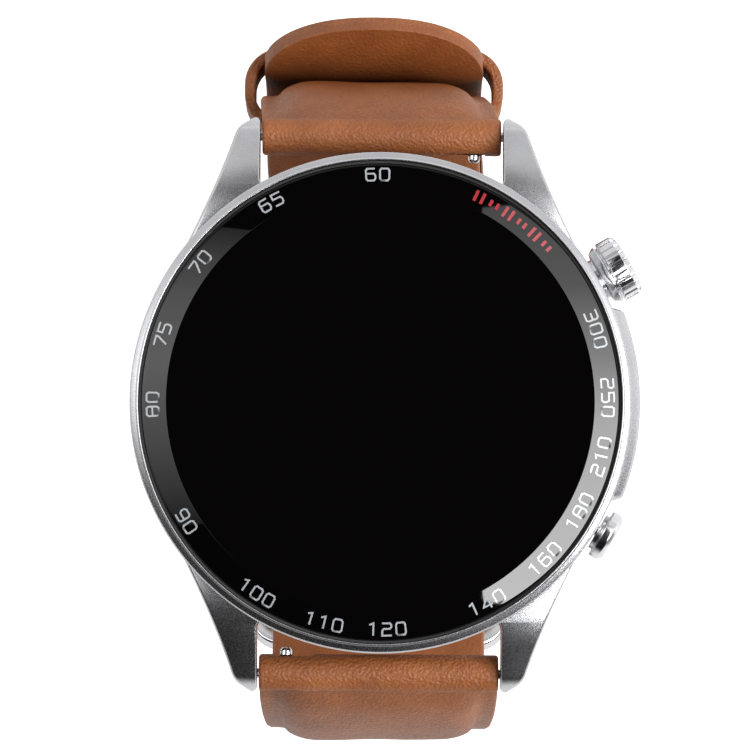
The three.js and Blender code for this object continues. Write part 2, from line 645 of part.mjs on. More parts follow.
const sixSide = new THREE.Group();
sixSide.rotation.z = Math.PI;
group.add(sixSide);
makeSpringBar('12', group);
makeRoot('12', group);
makeSpringBar('6', sixSide);
makeRoot('6', sixSide);

makeShortStrap();
const tangRoom = makeBuckle();
makeLongStrap(tangRoom);
keeper('fixed_keeper', FIXED_KEEPER_ANGLE, FLAT_HALF);
keeper('free_keeper', FREE_KEEPER_ANGLE, FREE_KEEPER_STRAP_HALF);

export default group;
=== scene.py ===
"""A round smartwatch on a buckled leather strap: fine meshes, materials, camera and light.

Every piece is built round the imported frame. Lengths are written in millimetres and scaled by MM.
+Z comes out of the glass, +Y points to 12 o'clock, +X to the crown side.
"""
import json
import math

import bmesh
import bpy
import numpy as np
from mathutils import Matrix, Vector


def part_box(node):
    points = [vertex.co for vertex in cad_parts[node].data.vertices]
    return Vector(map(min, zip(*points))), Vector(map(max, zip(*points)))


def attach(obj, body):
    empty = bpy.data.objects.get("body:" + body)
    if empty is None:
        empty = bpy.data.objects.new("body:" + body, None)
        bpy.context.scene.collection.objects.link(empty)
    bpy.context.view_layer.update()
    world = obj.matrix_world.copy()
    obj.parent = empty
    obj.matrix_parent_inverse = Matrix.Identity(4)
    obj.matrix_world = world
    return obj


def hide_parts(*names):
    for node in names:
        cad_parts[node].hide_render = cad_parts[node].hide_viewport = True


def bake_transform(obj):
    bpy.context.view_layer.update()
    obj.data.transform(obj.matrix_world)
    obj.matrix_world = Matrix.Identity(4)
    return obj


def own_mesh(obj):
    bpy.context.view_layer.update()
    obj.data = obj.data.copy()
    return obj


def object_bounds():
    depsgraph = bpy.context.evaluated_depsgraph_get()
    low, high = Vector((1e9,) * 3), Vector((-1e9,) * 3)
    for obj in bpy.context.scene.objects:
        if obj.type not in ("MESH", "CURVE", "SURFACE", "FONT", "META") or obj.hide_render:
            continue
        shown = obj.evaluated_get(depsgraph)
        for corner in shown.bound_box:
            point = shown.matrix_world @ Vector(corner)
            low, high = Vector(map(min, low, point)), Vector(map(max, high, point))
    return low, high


MM = 0.001

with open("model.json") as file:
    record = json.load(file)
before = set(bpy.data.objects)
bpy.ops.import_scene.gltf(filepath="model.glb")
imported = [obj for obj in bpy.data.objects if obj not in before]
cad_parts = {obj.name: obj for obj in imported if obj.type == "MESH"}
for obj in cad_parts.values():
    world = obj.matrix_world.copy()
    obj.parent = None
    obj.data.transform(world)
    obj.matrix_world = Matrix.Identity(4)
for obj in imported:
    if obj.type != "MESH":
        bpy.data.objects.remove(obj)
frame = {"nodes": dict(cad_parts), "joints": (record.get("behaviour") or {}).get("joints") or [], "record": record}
cad_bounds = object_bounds()


# ---------- Sizes read from the frame, in millimetres ----------

def low(node):
    return np.array(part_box(node)[0]) / MM


def high(node):
    return np.array(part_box(node)[1]) / MM


def joint(name):
    return next(j for j in frame["joints"] if j["name"] == name)


def pivot(name):
    """A hinge's place in the (y, z) plane."""
    return np.array(joint(name)["pos_m"][1:]) / MM


GLASS_RADIUS = high("cover_glass")[0]
GLASS_TOP = high("cover_glass")[2]
GLASS_LOW = low("cover_glass")[2]
BEVEL = 2.25
BEVEL_DROP = 0.7
BEZEL_RADIUS = high("bezel_ring")[0]
BEZEL_TOP = high("bezel_ring")[2]
BEZEL_LOW = low("bezel_ring")[2]
CASE_TOP = high("mid_case")[2]
CASE_RADIUS = 22.6
CAVITY_RADIUS = 19.4
GUARD_RADIUS = 23.45
LUG_INNER = 11.05
LUG_TIP = high("mid_case")[1]
BUTTON_HEIGHT = 5.6
CROWN_ANGLE = math.radians(30)
PUSHER_ANGLE = math.radians(-30)

BAR_PIVOT = pivot("strap_12_hinge")
BUCKLE_PIVOT = pivot("buckle_swing")
LOOP_CENTRE = pivot("keeper_slide")
LOOP_RADIUS = float(np.linalg.norm(BUCKLE_PIVOT - LOOP_CENTRE))
TAIL_RADIUS = LOOP_RADIUS + 2.8
ROOT_HALF_WIDTH = high("strap_12_upper_root")[0]
STRAP_HALF_WIDTH = 10.2
ROLL_RADIUS = 1.75
PADDED_HALF = 1.75
FLAT_HALF = 1.2
TAIL_HALF = 0.85
FLANGE_HALF = 0.3
BUCKLE_ANGLE = math.degrees(math.atan2(*(BUCKLE_PIVOT - LOOP_CENTRE)[::-1]))
CROSSING_SWEEP = 23.0
BUCKLE_TURN = 9.5
KNOB_X = 8.4


# ---------- Mesh helpers ----------

def new_object(name, mesh):
    obj = bpy.data.objects.new(name, mesh)
    bpy.context.scene.collection.objects.link(obj)
    return obj


def finish_mesh(name, points, faces, sharp_angle=35):
    """A smooth-shaded object from points in millimetres, with its normals facing out."""
    mesh = bpy.data.meshes.new(name)
    mesh.from_pydata([tuple(p) for p in np.asarray(points) * MM], [], faces)
    work = bmesh.new()
    work.from_mesh(mesh)
    bmesh.ops.remove_doubles(work, verts=work.verts, dist=1e-7)
    bmesh.ops.recalc_face_normals(work, faces=work.faces)
    work.to_mesh(mesh)
    work.free()
    mesh.shade_smooth()
    mesh.set_sharp_from_angle(angle=math.radians(sharp_angle))
    return new_object(name, mesh)


def merged(objects):
    """Puts several meshes into the first one."""
    first, *others = objects
    work = bmesh.new()
    work.from_mesh(first.data)
    for other in others:
        work.from_mesh(other.data)
        bpy.data.objects.remove(other)
    work.to_mesh(first.data)
    work.free()
    return first


def grid(name, rows, wrap_rows=False, wrap_columns=True, cap=False, sharp_angle=35):
    """A skin through rows of points, each row the same length.

    cap closes the first and last row, with one face or with a list of faces given in row places.
    """
    rows = np.asarray(rows, float)
    count, width = rows.shape[:2]
    faces = []
    for i in range(count if wrap_rows else count - 1):
        for j in range(width if wrap_columns else width - 1):
            here = i * width
            after = ((i + 1) % count) * width
            k = (j + 1) % width
            faces.append((here + j, here + k, after + k, after + j))
    if cap:
        for face in ([range(width)] if cap is True else cap):
            faces.append(tuple(reversed(face)))
            faces.append(tuple((count - 1) * width + place for place in face))
    return finish_mesh(name, rows.reshape(-1, 3), faces, sharp_angle)


def rounded(points, radius, steps=5, closed=True):
    """The outline with each corner replaced by an arc of that radius. A radius may be a list."""
    points = [np.array(p, float) for p in points]
    radii = radius if isinstance(radius, (list, tuple)) else [radius] * len(points)
    result = []
    for i, corner in enumerate(points):
        if not closed and i in (0, len(points) - 1) or radii[i] == 0:
            result.append(corner)
            continue
        before = points[i - 1] - corner
        after = points[(i + 1) % len(points)] - corner
        room = 0.45 * min(np.linalg.norm(before), np.linalg.norm(after))
        before /= np.linalg.norm(before)
        after /= np.linalg.norm(after)
        half = math.acos(np.clip(np.dot(before, after), -1, 1)) / 2
        reach = min(room, radii[i] / math.tan(half))
        arc = reach * math.tan(half)
        centre = corner + (before + after) / np.linalg.norm(before + after) * arc / math.sin(half)
        start = corner + before * reach - centre
        end = corner + after * reach - centre
        turn = math.atan2(start[0] * end[1] - start[1] * end[0], np.dot(start, end))
        for step in range(steps + 1):
            a = turn * step / steps
            spin = np.array([[math.cos(a), -math.sin(a)], [math.sin(a), math.cos(a)]])
            result.append(centre + spin @ start)
    return result


def turned_rows(profile, segments):
    profile = np.asarray(profile, float)
    angles = np.arange(segments) * 2 * math.pi / segments
    return [[(r * math.cos(a), r * math.sin(a), z) for r, z in profile] for a in angles]


def turned(name, profile, segments=192, ring=True, sharp_angle=35):
    """A turned solid about Z. A ring's profile closes on itself, another starts and ends on Z."""
    rows = turned_rows(profile, segments)
    return grid(name, rows, wrap_rows=True, wrap_columns=ring, sharp_angle=sharp_angle)


def place(obj, matrix):
    """Moves the mesh itself, so that the object stays at the origin."""
    obj.data.transform(matrix)
    return obj


def radial(obj, angle):
    """Turns a piece made about Z so that its axis runs out through the case wall."""
    shift = Matrix.Translation((0, 0, BUTTON_HEIGHT * MM))
    return place(obj, shift @ Matrix.Rotation(angle, 4, "Z") @ Matrix.Rotation(math.pi / 2, 4, "Y"))


def along_x(obj, y, z):
    return place(obj, Matrix.Translation((0, y * MM, z * MM)) @ Matrix.Rotation(math.pi / 2, 4, "Y"))


def half_turn(obj):
    return place(obj, Matrix.Rotation(math.pi, 4, "Z"))


def combine(obj, operation, *tools):
    """Cuts the tools out of obj or joins them to it, and deletes them."""
    for tool in tools:
        modifier = obj.modifiers.new("combine", "BOOLEAN")
        modifier.operation = operation
        modifier.solver = "EXACT"
        modifier.object = tool
        bpy.context.view_layer.objects.active = obj
        with bpy.context.temp_override(object=obj, active_object=obj):
            bpy.ops.object.modifier_apply(modifier=modifier.name)
        bpy.data.objects.remove(tool)
    obj.data.shade_smooth()
    obj.data.set_sharp_from_angle(angle=math.radians(42))
    return obj


def cut(obj, *tools):
    return combine(obj, "DIFFERENCE", *tools)


def rod(name, radius, start, end, edge=0.0, segments=48):
    """A round bar about Z with an optional chamfered edge."""
    profile = [(0, start), (radius - edge, start), (radius, start + edge),
               (radius, end - edge), (radius - edge, end), (0, end)]
    if edge == 0:
        profile = [(0, start), (radius, start), (radius, end), (0, end)]
    return turned(name, profile, segments, ring=False)


def smoothstep(value, start, end):
    t = np.clip((np.asarray(value, float) - start) / (end - start), 0, 1)
    return t * t * (3 - 2 * t)


# ---------- Materials ----------

class Nodes:
    """A material's node tree with short calls for what the materials here need."""

    def __init__(self, name):
        self.material = bpy.data.materials.new(name)
        self.material.use_nodes = True
        self.tree = self.material.node_tree
        self.shader = self.tree.nodes["Principled BSDF"]
        self.place = self.tree.nodes.new("ShaderNodeTexCoord").outputs["Object"]

    def link(self, output, socket):
        self.tree.links.new(output, socket)

    def value(self, socket, value):
        self.shader.inputs[socket].default_value = value

    def noise(self, scale, detail=4.0, roughness=0.5, stretch=None):
        """Noise whose scale is in features per millimetre."""
        node = self.tree.nodes.new("ShaderNodeTexNoise")
        node.inputs["Scale"].default_value = scale / MM
        node.inputs["Detail"].default_value = detail
        node.inputs["Roughness"].default_value = roughness
        self.link(self.stretched(stretch), node.inputs["Vector"])
        return node.outputs["Fac"]

    def stretched(self, stretch):
        if stretch is None:
            return self.place
        mapping = self.tree.nodes.new("ShaderNodeMapping")
        mapping.inputs["Scale"].default_value = stretch
        self.link(self.place, mapping.inputs["Vector"])
        return mapping.outputs["Vector"]

    def cells(self, scale, feature="F1", output="Distance", randomness=1.0):
        node = self.tree.nodes.new("ShaderNodeTexVoronoi")
        node.feature = feature
        node.inputs["Scale"].default_value = scale / MM
        node.inputs["Randomness"].default_value = randomness
        self.link(self.place, node.inputs["Vector"])
        return node.outputs[output]

    def ramp(self, source, stops):
        """Maps 0..1 to colours or grey values given as (place, value) stops."""
        node = self.tree.nodes.new("ShaderNodeValToRGB")
        ramp = node.color_ramp
        while len(ramp.elements) < len(stops):
            ramp.elements.new(0.5)
        for element, (where, value) in zip(ramp.elements, stops):
            element.position = where
            grey = isinstance(value, (int, float))
            element.color = (value, value, value, 1) if grey else (*value, 1)
        self.link(source, node.inputs["Fac"])
        return node.outputs["Color"]

    def mix(self, a, b, factor, blend="MIX"):
        node = self.tree.nodes.new("ShaderNodeMix")
        node.data_type = "RGBA"
        node.blend_type = blend
        for value, index in ((a, 6), (b, 7), (factor, 0)):
            if hasattr(value, "is_output"):
                self.link(value, node.inputs[index])
            else:
                node.inputs[index].default_value = value
        return node.outputs[2]

    def math(self, operation, a, b):
        node = self.tree.nodes.new("ShaderNodeMath")
        node.operation = operation
        for value, socket in ((a, node.inputs[0]), (b, node.inputs[1])):
            if hasattr(value, "is_output"):
                self.link(value, socket)
            else:
                socket.default_value = value
        return node.outputs["Value"]

    def bump(self, height, distance, strength=1.0, below=None):
        """Bump of a given height in millimetres."""
        node = self.tree.nodes.new("ShaderNodeBump")
        node.inputs["Distance"].default_value = distance * MM
        node.inputs["Strength"].default_value = strength
        self.link(height, node.inputs["Height"])
        if below is not None:
            self.link(below, node.inputs["Normal"])
        self.link(node.outputs["Normal"], self.shader.inputs["Normal"])
        return node.outputs["Normal"]


def blasted_metal():
    """Bead-blasted alloy: fine even grain and a soft satin shine."""
    m = Nodes("blasted_metal")
    tone = m.noise(0.35, 3)
    m.link(m.ramp(tone, [(0.3, (0.50, 0.50, 0.52)), (0.7, (0.56, 0.56, 0.58))]),
           m.shader.inputs["Base Color"])
    m.value("Metallic", 1.0)
    m.link(m.ramp(m.noise(9, 2), [(0.3, 0.23), (0.7, 0.31)]), m.shader.inputs["Roughness"])
    m.bump(m.noise(11, 3, 0.7), 0.007, 0.7)
    return m.material


def polished_metal():
    """Polished steel with faint hairlines."""
    m = Nodes("polished_metal")
    m.value("Base Color", (0.66, 0.66, 0.68, 1))
    m.value("Metallic", 1.0)
    m.link(m.ramp(m.noise(1.5, 4), [(0.35, 0.15), (0.7, 0.23)]), m.shader.inputs["Roughness"])
    m.bump(m.noise(4, 2), 0.002, 0.5)
    return m.material


def machined_steel():
    """Turned and ground steel for pins, screws and the case back."""
    m = Nodes("machined_steel")
    m.link(m.ramp(m.noise(0.8, 4), [(0.3, (0.36, 0.36, 0.38)), (0.7, (0.46, 0.46, 0.48))]),
           m.shader.inputs["Base Color"])
    m.value("Metallic", 1.0)
    m.link(m.ramp(m.noise(3, 3), [(0.3, 0.26), (0.7, 0.36)]), m.shader.inputs["Roughness"])
    m.bump(m.noise(8, 2), 0.006, 0.4)
    return m.material


def black_glass():
    """Polished black cover glass with the slightest uneven gloss."""
    m = Nodes("black_glass")
    m.value("Base Color", (0.0015, 0.0012, 0.0014, 1))
    m.value("IOR", 1.52)
    m.link(m.ramp(m.noise(0.05, 2), [(0.4, 0.015), (0.7, 0.03)]), m.shader.inputs["Roughness"])
    return m.material


def scale_print(name, colour):
    """Thin print under the glass, with the glass's own gloss over it."""
    m = Nodes(name)
    shade = [channel * 0.9 for channel in colour]
    m.link(m.ramp(m.noise(1.2, 3), [(0.35, shade), (0.65, colour)]), m.shader.inputs["Base Color"])
    m.value("Roughness", 0.35)
    m.value("Coat Weight", 1.0)
    m.value("Coat Roughness", 0.02)
    return m.material


def leather(name, dark, middle, light, grain=1.0):
    """Pebbled leather: cells for the grain, creases between them with painted shade darkening the colour there,
    and soft colour variation.
    """
    m = Nodes(name)
    patches = m.ramp(m.noise(0.16, 5, 0.6), [(0.3, dark), (0.5, middle), (0.72, light)])
    # Painted shade: the base colour darkens along the edges of the grain cells, where the creases between the
    # pebbles lie.
    crease_shade = m.ramp(m.cells(3.4, "DISTANCE_TO_EDGE"), [(0.0, 0.74), (0.16, 1.0)])
    m.link(m.mix(patches, crease_shade, 0.5, "MULTIPLY"), m.shader.inputs["Base Color"])
    m.link(m.ramp(m.noise(2.5, 3), [(0.3, 0.42), (0.7, 0.58)]), m.shader.inputs["Roughness"])
    m.value("Specular IOR Level", 0.45)
    wrinkles = m.bump(m.noise(2.4, 5, 0.6), 0.09 * grain, 0.45)
    pebbles = m.bump(m.cells(4.0, "SMOOTH_F1"), 0.14 * grain, 0.9, wrinkles)
    m.bump(m.noise(9, 3, 0.6), 0.04 * grain, 0.6, pebbles)
    return m.material


def moulded(name, colour, roughness, speck=6.0):
    """Moulded plastic, rubber or board: an even tone with a fine moulded texture."""
    m = Nodes(name)
    shade = [channel * 0.75 for channel in colour]
    m.link(m.ramp(m.noise(0.9, 3), [(0.3, shade), (0.7, colour)]), m.shader.inputs["Base Color"])
    m.link(m.ramp(m.noise(4, 2), [(0.3, roughness - 0.06), (0.7, roughness + 0.06)]),
           m.shader.inputs["Roughness"])
    m.bump(m.noise(speck, 2), 0.015, 0.4)
    return m.material


MATERIALS = {
    "blasted_case": blasted_metal(),
    "polished_metal": polished_metal(),
    "inner_steel": machined_steel(),
    "black_glass": black_glass(),
    "seal_rubber": moulded("seal_rubber", (0.02, 0.02, 0.02), 0.7),
    "black_plastic": moulded("black_plastic", (0.035, 0.035, 0.038), 0.5),
    "circuit_board": moulded("circuit_board", (0.02, 0.12, 0.05), 0.45),
    "battery_foil": moulded("battery_foil", (0.45, 0.46, 0.48), 0.4),
    "contact_gold": moulded("contact_gold", (0.75, 0.5, 0.16), 0.3),
    "brown_leather": leather("brown_leather", (0.21, 0.060, 0.014), (0.27, 0.082, 0.020),
                             (0.33, 0.108, 0.030)),
    "leather_lining": leather("leather_lining", (0.19, 0.052, 0.011), (0.24, 0.070, 0.016),
                              (0.29, 0.092, 0.024), grain=0.5),
}
for gold in ("contact_gold", "battery_foil"):
    MATERIALS[gold].node_tree.nodes["Principled BSDF"].inputs["Metallic"].default_value = 1.0

SLOT_OF = {row["node"]: row["material_slot"] for row in frame["record"]["subparts"]}


def settle(obj, body, slot, *replaced, material=None):
    """Gives a piece the material of its slot, parents it to its body and hides the CAD nodes it stands for. The
    strap pieces are given no body.
    """
    obj.data.materials.clear()
    obj.data.materials.append(material or MATERIALS[slot])
    if body:
        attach(obj, body)
    if replaced:
        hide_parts(*replaced)
    return obj


def dress_cad_nodes():
    """Every carried-over CAD node takes the procedural material of its slot."""
    for name, obj in frame["nodes"].items():
        obj.data.materials.clear()
        obj.data.materials.append(MATERIALS[SLOT_OF[name]])


# ---------- Case ----------

def lug_side_top(y):
    """Height of the lugs' upper surface at a distance from the middle: falling ever more, then round."""
    run = np.clip(y - 16.0, 0, 6.0) ** 2 / 12 + np.maximum(y - 22.0, 0)
    tip = np.clip((y - 24.6) / (LUG_TIP - 24.6), 0, 1)
    return 8.6 - 0.47 * run - 1.7 * (1 - np.sqrt(1 - tip ** 2))


def lug_side_bottom(y):
    slope = 2.2 - 1.0 * smoothstep(y, 15, 23.5)
    tip = np.clip((y - 23.5) / (LUG_TIP - 23.5), 0, 1)
    return slope + 2.0 * (1 - np.sqrt(np.clip(1 - tip ** 2.2, 0, 1)))


def quadratic(a, b, c, count):
    t = np.linspace(0, 1, count)[:, None]
    a, b, c = (np.array(p, float) for p in (a, b, c))
    return list((1 - t) ** 2 * a + 2 * t * (1 - t) * b + t ** 2 * c)


LUG_CHEST = (17.6, 14.2)
LUG_SHOULDER = (13.35, 24.3)
LUG_CORNER = (12.4, 25.55)
LUG_POINT = 11.5
LUG_ROOT = 20.4
LUG_LEAN = 0.08


def lug_outer(y):
    """Half width out to the lug's outer side at a distance from the middle."""
    line = ([np.array((17.9, 12.5))] + quadratic(LUG_CHEST, (15.05, 19.2), LUG_SHOULDER, 40)
            + quadratic(LUG_SHOULDER, (13.1, 25.15), LUG_CORNER, 10)[1:]
            + [np.array((LUG_POINT + 0.05, LUG_TIP))])
    line = np.array(line)
    return np.interp(y, line[:, 1], line[:, 0])


def lug_inner(y):
    """The straight inner side, with a fillet into the ring and a small round at the tip."""
    fillet = 0.8 * (1 - np.sqrt(1 - np.clip((LUG_ROOT - y) / 0.9, 0, 1) ** 2))
    tip = (LUG_POINT - LUG_INNER) * (1 - np.sqrt(1 - np.clip((y - 25.6) / (LUG_TIP - 25.6), 0, 1) ** 2))
    return LUG_INNER - fillet + tip


def make_lug(sign_x, sign_y):
    tip = LUG_TIP - 0.75 * (1 - np.sin(np.linspace(0, math.pi / 2, 12)))
    places = np.concatenate([np.linspace(13.2, 19.3, 12), np.linspace(19.5, 20.5, 10),
                             np.linspace(20.8, 25.2, 26), tip])
    rows = []
    for y in places:
        inner, outer = float(lug_inner(y)), float(lug_outer(y))
        base, top = float(lug_side_bottom(y)), float(lug_side_top(y))
        section = [(inner, base), (outer, base + 0.3), (outer, top - LUG_LEAN * (outer - LUG_INNER)),
                   (inner, top - LUG_LEAN * (inner - LUG_INNER))]
        section = rounded(section, [0.3, 0.5, 0.35, 0.15], 6)
        rows.append([(sign_x * x, sign_y * y, z) for x, z in section])
    return grid("lug", rows, cap=True, sharp_angle=45)


def ring_rows():
    """The round part of the case, with the guard's bulge between the two buttons."""
    wall = [(CAVITY_RADIUS, 2.6), (20.7, 2.6), (20.7, 1.6), (21.2, 1.6), (21.5, 2.3), (22.0, 3.8),
            (22.5, 5.2), (CASE_RADIUS, 6.0), (CASE_RADIUS, 8.65), (22.3, CASE_TOP),
            (CAVITY_RADIUS, CASE_TOP)]
    profile = rounded(wall, [0, 0, 0.05, 0.15, 0.8, 2.0, 2.0, 1.5, 0.15, 0.12, 0], 4)
    dense = []
    for a, b in zip(profile, profile[1:] + profile[:1]):
        steps = max(1, int(abs(b[1] - a[1]) / 0.3)) if min(a[0], b[0]) > 21 else 1
        dense += [a + (b - a) * i / steps for i in range(steps)]
    dense = np.array(dense)
    height = smoothstep(dense[:, 1], 3.1, 3.9) * (1 - smoothstep(dense[:, 1], 8.1, 8.7))
    height = height * (dense[:, 0] > 21)
    rows = []
    for degrees in np.arange(0, 360, 0.5):
        away = abs((degrees + 180) % 360 - 180)
        bulge = (GUARD_RADIUS - CASE_RADIUS) * (1 - smoothstep(away, 20.8, 23.0))
        radius = dense[:, 0] + bulge * height
        a = math.radians(degrees)
        rows.append(np.column_stack([radius * math.cos(a), radius * math.sin(a), dense[:, 1]]))
    return rows


def make_case():
    case = grid("case_body", ring_rows(), wrap_rows=True, sharp_angle=40)
    lugs = [make_lug(x, y) for x in (1, -1) for y in (1, -1)]
    combine(case, "UNION", merged(lugs))
    cavity = [rod("hole", CAVITY_RADIUS, 2.6, 9.5, segments=360), rod("hole", 20.7, 0.5, 2.6, segments=360)]
    buttons = [(2.15, 1.65, CROWN_ANGLE), (1.92, 1.55, PUSHER_ANGLE)]
    bores = []
    for wide, narrow, angle in buttons:
        bores.append(radial(rod("hole", wide, 21.7, 26), angle))
        bores.append(radial(rod("hole", narrow, 18, 22), angle))
    bars = [along_x(rod("hole", 0.72, -12.6, 12.6), sign * BAR_PIVOT[0], BAR_PIVOT[1])
            for sign in (1, -1)]
    cut(case, *cavity, *bores, merged(bars))
    settle(case, "case", "blasted_case", "mid_case")


def make_bezel_and_glass():
    bezel = [(21.75, BEZEL_LOW), (BEZEL_RADIUS, BEZEL_LOW), (BEZEL_RADIUS, 10.22),
             (22.0, 10.45), (21.84, BEZEL_TOP), (21.75, 10.5)]
    ring = turned("bezel_ring_fine", rounded(bezel, [0.05, 0.08, 0.14, 0.1, 0.06, 0.05], 4), 288)
    settle(ring, "case", "blasted_case", "bezel_ring")
    shoulder = GLASS_RADIUS - 0.03
    bevel_low = np.array((shoulder, GLASS_TOP - BEVEL_DROP))
    bevel_high = np.array((GLASS_RADIUS - BEVEL, GLASS_TOP))
    hold = bevel_low + 0.12 * (bevel_high - bevel_low)
    glass = [(0, GLASS_LOW), (shoulder, GLASS_LOW), bevel_low, hold, bevel_high, (0, GLASS_TOP)]
    profile = rounded(glass, [0, 0.08, 0.12, 0, 0.25, 0], 5, closed=False)
    cover = turned("cover_glass_fine", profile, 288, ring=False, sharp_angle=60)
    settle(cover, "case", "black_glass", "cover_glass")
    line = [(21.5, 9.2), (21.7, 9.2), (21.7, 10.05), (21.5, 10.05)]
    settle(turned("glass_seal", line, 192), "case", "seal_rubber")
    # Painted shade: a black film 0.04 mm thick in the gap under the bezel, so that the groove between bezel and
    # case is dark.
    groove_shade_sheet = [(20.9, CASE_TOP + 0.01), (22.42, CASE_TOP + 0.01), (22.42, CASE_TOP + 0.05),
            (20.9, CASE_TOP + 0.05)]
    settle(turned("bezel_groove_shade_sheet", groove_shade_sheet, 192), "case", "seal_rubber")


# ---------- The printed scale ----------

DIGIT_WIDTH = 0.84
DIGIT_HEIGHT = 1.1
DIGIT_STEP = 1.26
STROKE = 0.16
C = 0.16
DIGITS = {
    "0": [[(C, 0), (1 - C, 0), (1, C), (1, 1 - C), (1 - C, 1), (C, 1), (0, 1 - C), (0, C), (C, 0)]],
    "1": [[(0.1, 0.86), (0.55, 1), (0.55, 0)]],
    "2": [[(0, 1), (1 - C, 1), (1, 1 - C), (1, 0.55 + C), (1 - C, 0.55), (C, 0.55), (0, 0.55 - C),
           (0, 0), (1, 0)]],
    "3": [[(0, 1), (1 - C, 1), (1, 1 - C), (1, 0.6), (0.85, 0.52), (1, 0.44), (1, C), (1 - C, 0),
           (0, 0)], [(0.2, 0.52), (0.85, 0.52)]],
    "4": [[(0.75, 1), (0, 0.28), (1.08, 0.28)], [(0.78, 0.6), (0.78, 0)]],
    "5": [[(1, 1), (0, 1), (0, 0.58), (1 - C, 0.58), (1, 0.58 - C), (1, C), (1 - C, 0), (0, 0)]],
    "6": [[(0.95, 1), (C, 1), (0, 1 - C), (0, C), (C, 0), (1 - C, 0), (1, C), (1, 0.58 - C),
           (1 - C, 0.58), (0, 0.58)]],
    "7": [[(0, 1), (1, 1), (1, 0.8), (0.35, 0)]],
    "8": [[(C, 0), (1 - C, 0), (1, C), (1, 1 - C), (1 - C, 1), (C, 1), (0, 1 - C), (0, C), (C, 0)],
          [(0, 0.53), (1, 0.53)]],
    "9": [[(0.05, 0), (1 - C, 0), (1, C), (1, 1 - C), (1 - C, 1), (C, 1), (0, 1 - C),
           (0, 0.42 + C), (C, 0.42), (1, 0.42)]],
}
# Each numeral with its place on the clock, in degrees.
SCALE = {60: 359, 65: 331, 70: 307.3, 75: 286.7, 80: 269, 90: 238, 100: 212.5, 110: 194, 120: 178,
         140: 151.8, 160: 133.5, 180: 118.6, 210: 103.6, 250: 88.6, 300: 71}
SCALE_RADIUS = 20.45
PRINT_LIFT = 0.012
PRINT_THICKNESS = 0.012


def stroke_band(line, width):
    """The left and right sides of a line of that width, with mitred corners."""
    line = np.array(line, float)
    closed = np.allclose(line[0], line[-1])
    left, right = [], []
    for i, point in enumerate(line):
        before = line[i] - line[i - 1] if i > 0 else (line[0] - line[-2] if closed else None)
        after = line[i + 1] - line[i] if i < len(line) - 1 else (line[1] - line[0] if closed else None)
        before = after if before is None else before
        after = before if after is None else after
        before = before / np.linalg.norm(before)
        after = after / np.linalg.norm(after)
        normal = np.array((-(before + after)[1], (before + after)[0]))
        normal /= np.linalg.norm(normal)
        miter = width / 2 / max(0.5, float(normal @ np.array((-after[1], after[0]))))
        left.append(point + normal * miter)
        right.append(point - normal * miter)
    return left, right


def glass_height(radius):
    inner = GLASS_RADIUS - BEVEL
    return GLASS_TOP - BEVEL_DROP * np.clip((radius - inner) / BEVEL, 0, 1)


def on_bevel(x, y, angle, flip, lift):
    """A point of the print, x along the rim and y outward, at a clock position in radians."""
    if flip:
        x, y = -x, -y
    radius = SCALE_RADIUS + y
    turn = angle - x / SCALE_RADIUS
    return (radius * math.cos(turn), radius * math.sin(turn), glass_height(radius) + lift)


def print_band(points, faces, line, angle, flip, width=STROKE):
    left, right = stroke_band(line, width)
    base = len(points)
    for lift in (PRINT_LIFT, PRINT_LIFT + PRINT_THICKNESS):
        for a, b in zip(left, right):
            points.append(on_bevel(*a, angle, flip, lift))
            points.append(on_bevel(*b, angle, flip, lift))
    count = len(left)
    under, over = base, base + 2 * count
    for i in range(count - 1):
        a, b, c, d = 2 * i, 2 * i + 1, 2 * i + 3, 2 * i + 2
        faces.append((over + a, over + b, over + c, over + d))
        faces.append((under + d, under + c, under + b, under + a))
        faces.append((under + a, over + a, over + d, under + d))
        faces.append((under + b, under + c, over + c, over + b))
    for end in (0, 2 * count - 2):
        faces.append((under + end, under + end + 1, over + end + 1, over + end))


def make_scale():
    points, faces = [], []
    for value, clock in SCALE.items():
        text = str(value)
        flip = 95 < clock < 265
        start = -DIGIT_STEP * (len(text) - 1) / 2
        for i, digit in enumerate(text):
            offset = start + i * DIGIT_STEP
            for line in DIGITS[digit]:
                spots = [(offset + (x - 0.5) * DIGIT_WIDTH, (y - 0.5) * DIGIT_HEIGHT)
                         for x, y in line]
                print_band(points, faces, spots, math.radians(90 - clock), flip)
    numerals = finish_mesh("scale_numerals", points, faces)
    settle(numerals, "case", "black_glass", material=scale_print("print_grey", (0.36, 0.38, 0.40)))
    points, faces = [], []
    for i in range(6):
        clock = 25.5 + i * 4.2
        reach = 0.52 if i % 2 == 0 else 0.3
        for x in (-0.33, 0.33):
            print_band(points, faces, [(x, -reach), (x, reach)], math.radians(90 - clock), False, 0.28)
    ticks = finish_mesh("scale_red_ticks", points, faces)
    settle(ticks, "case", "black_glass", material=scale_print("print_red", (0.36, 0.012, 0.02)))


# ---------- Case back ----------

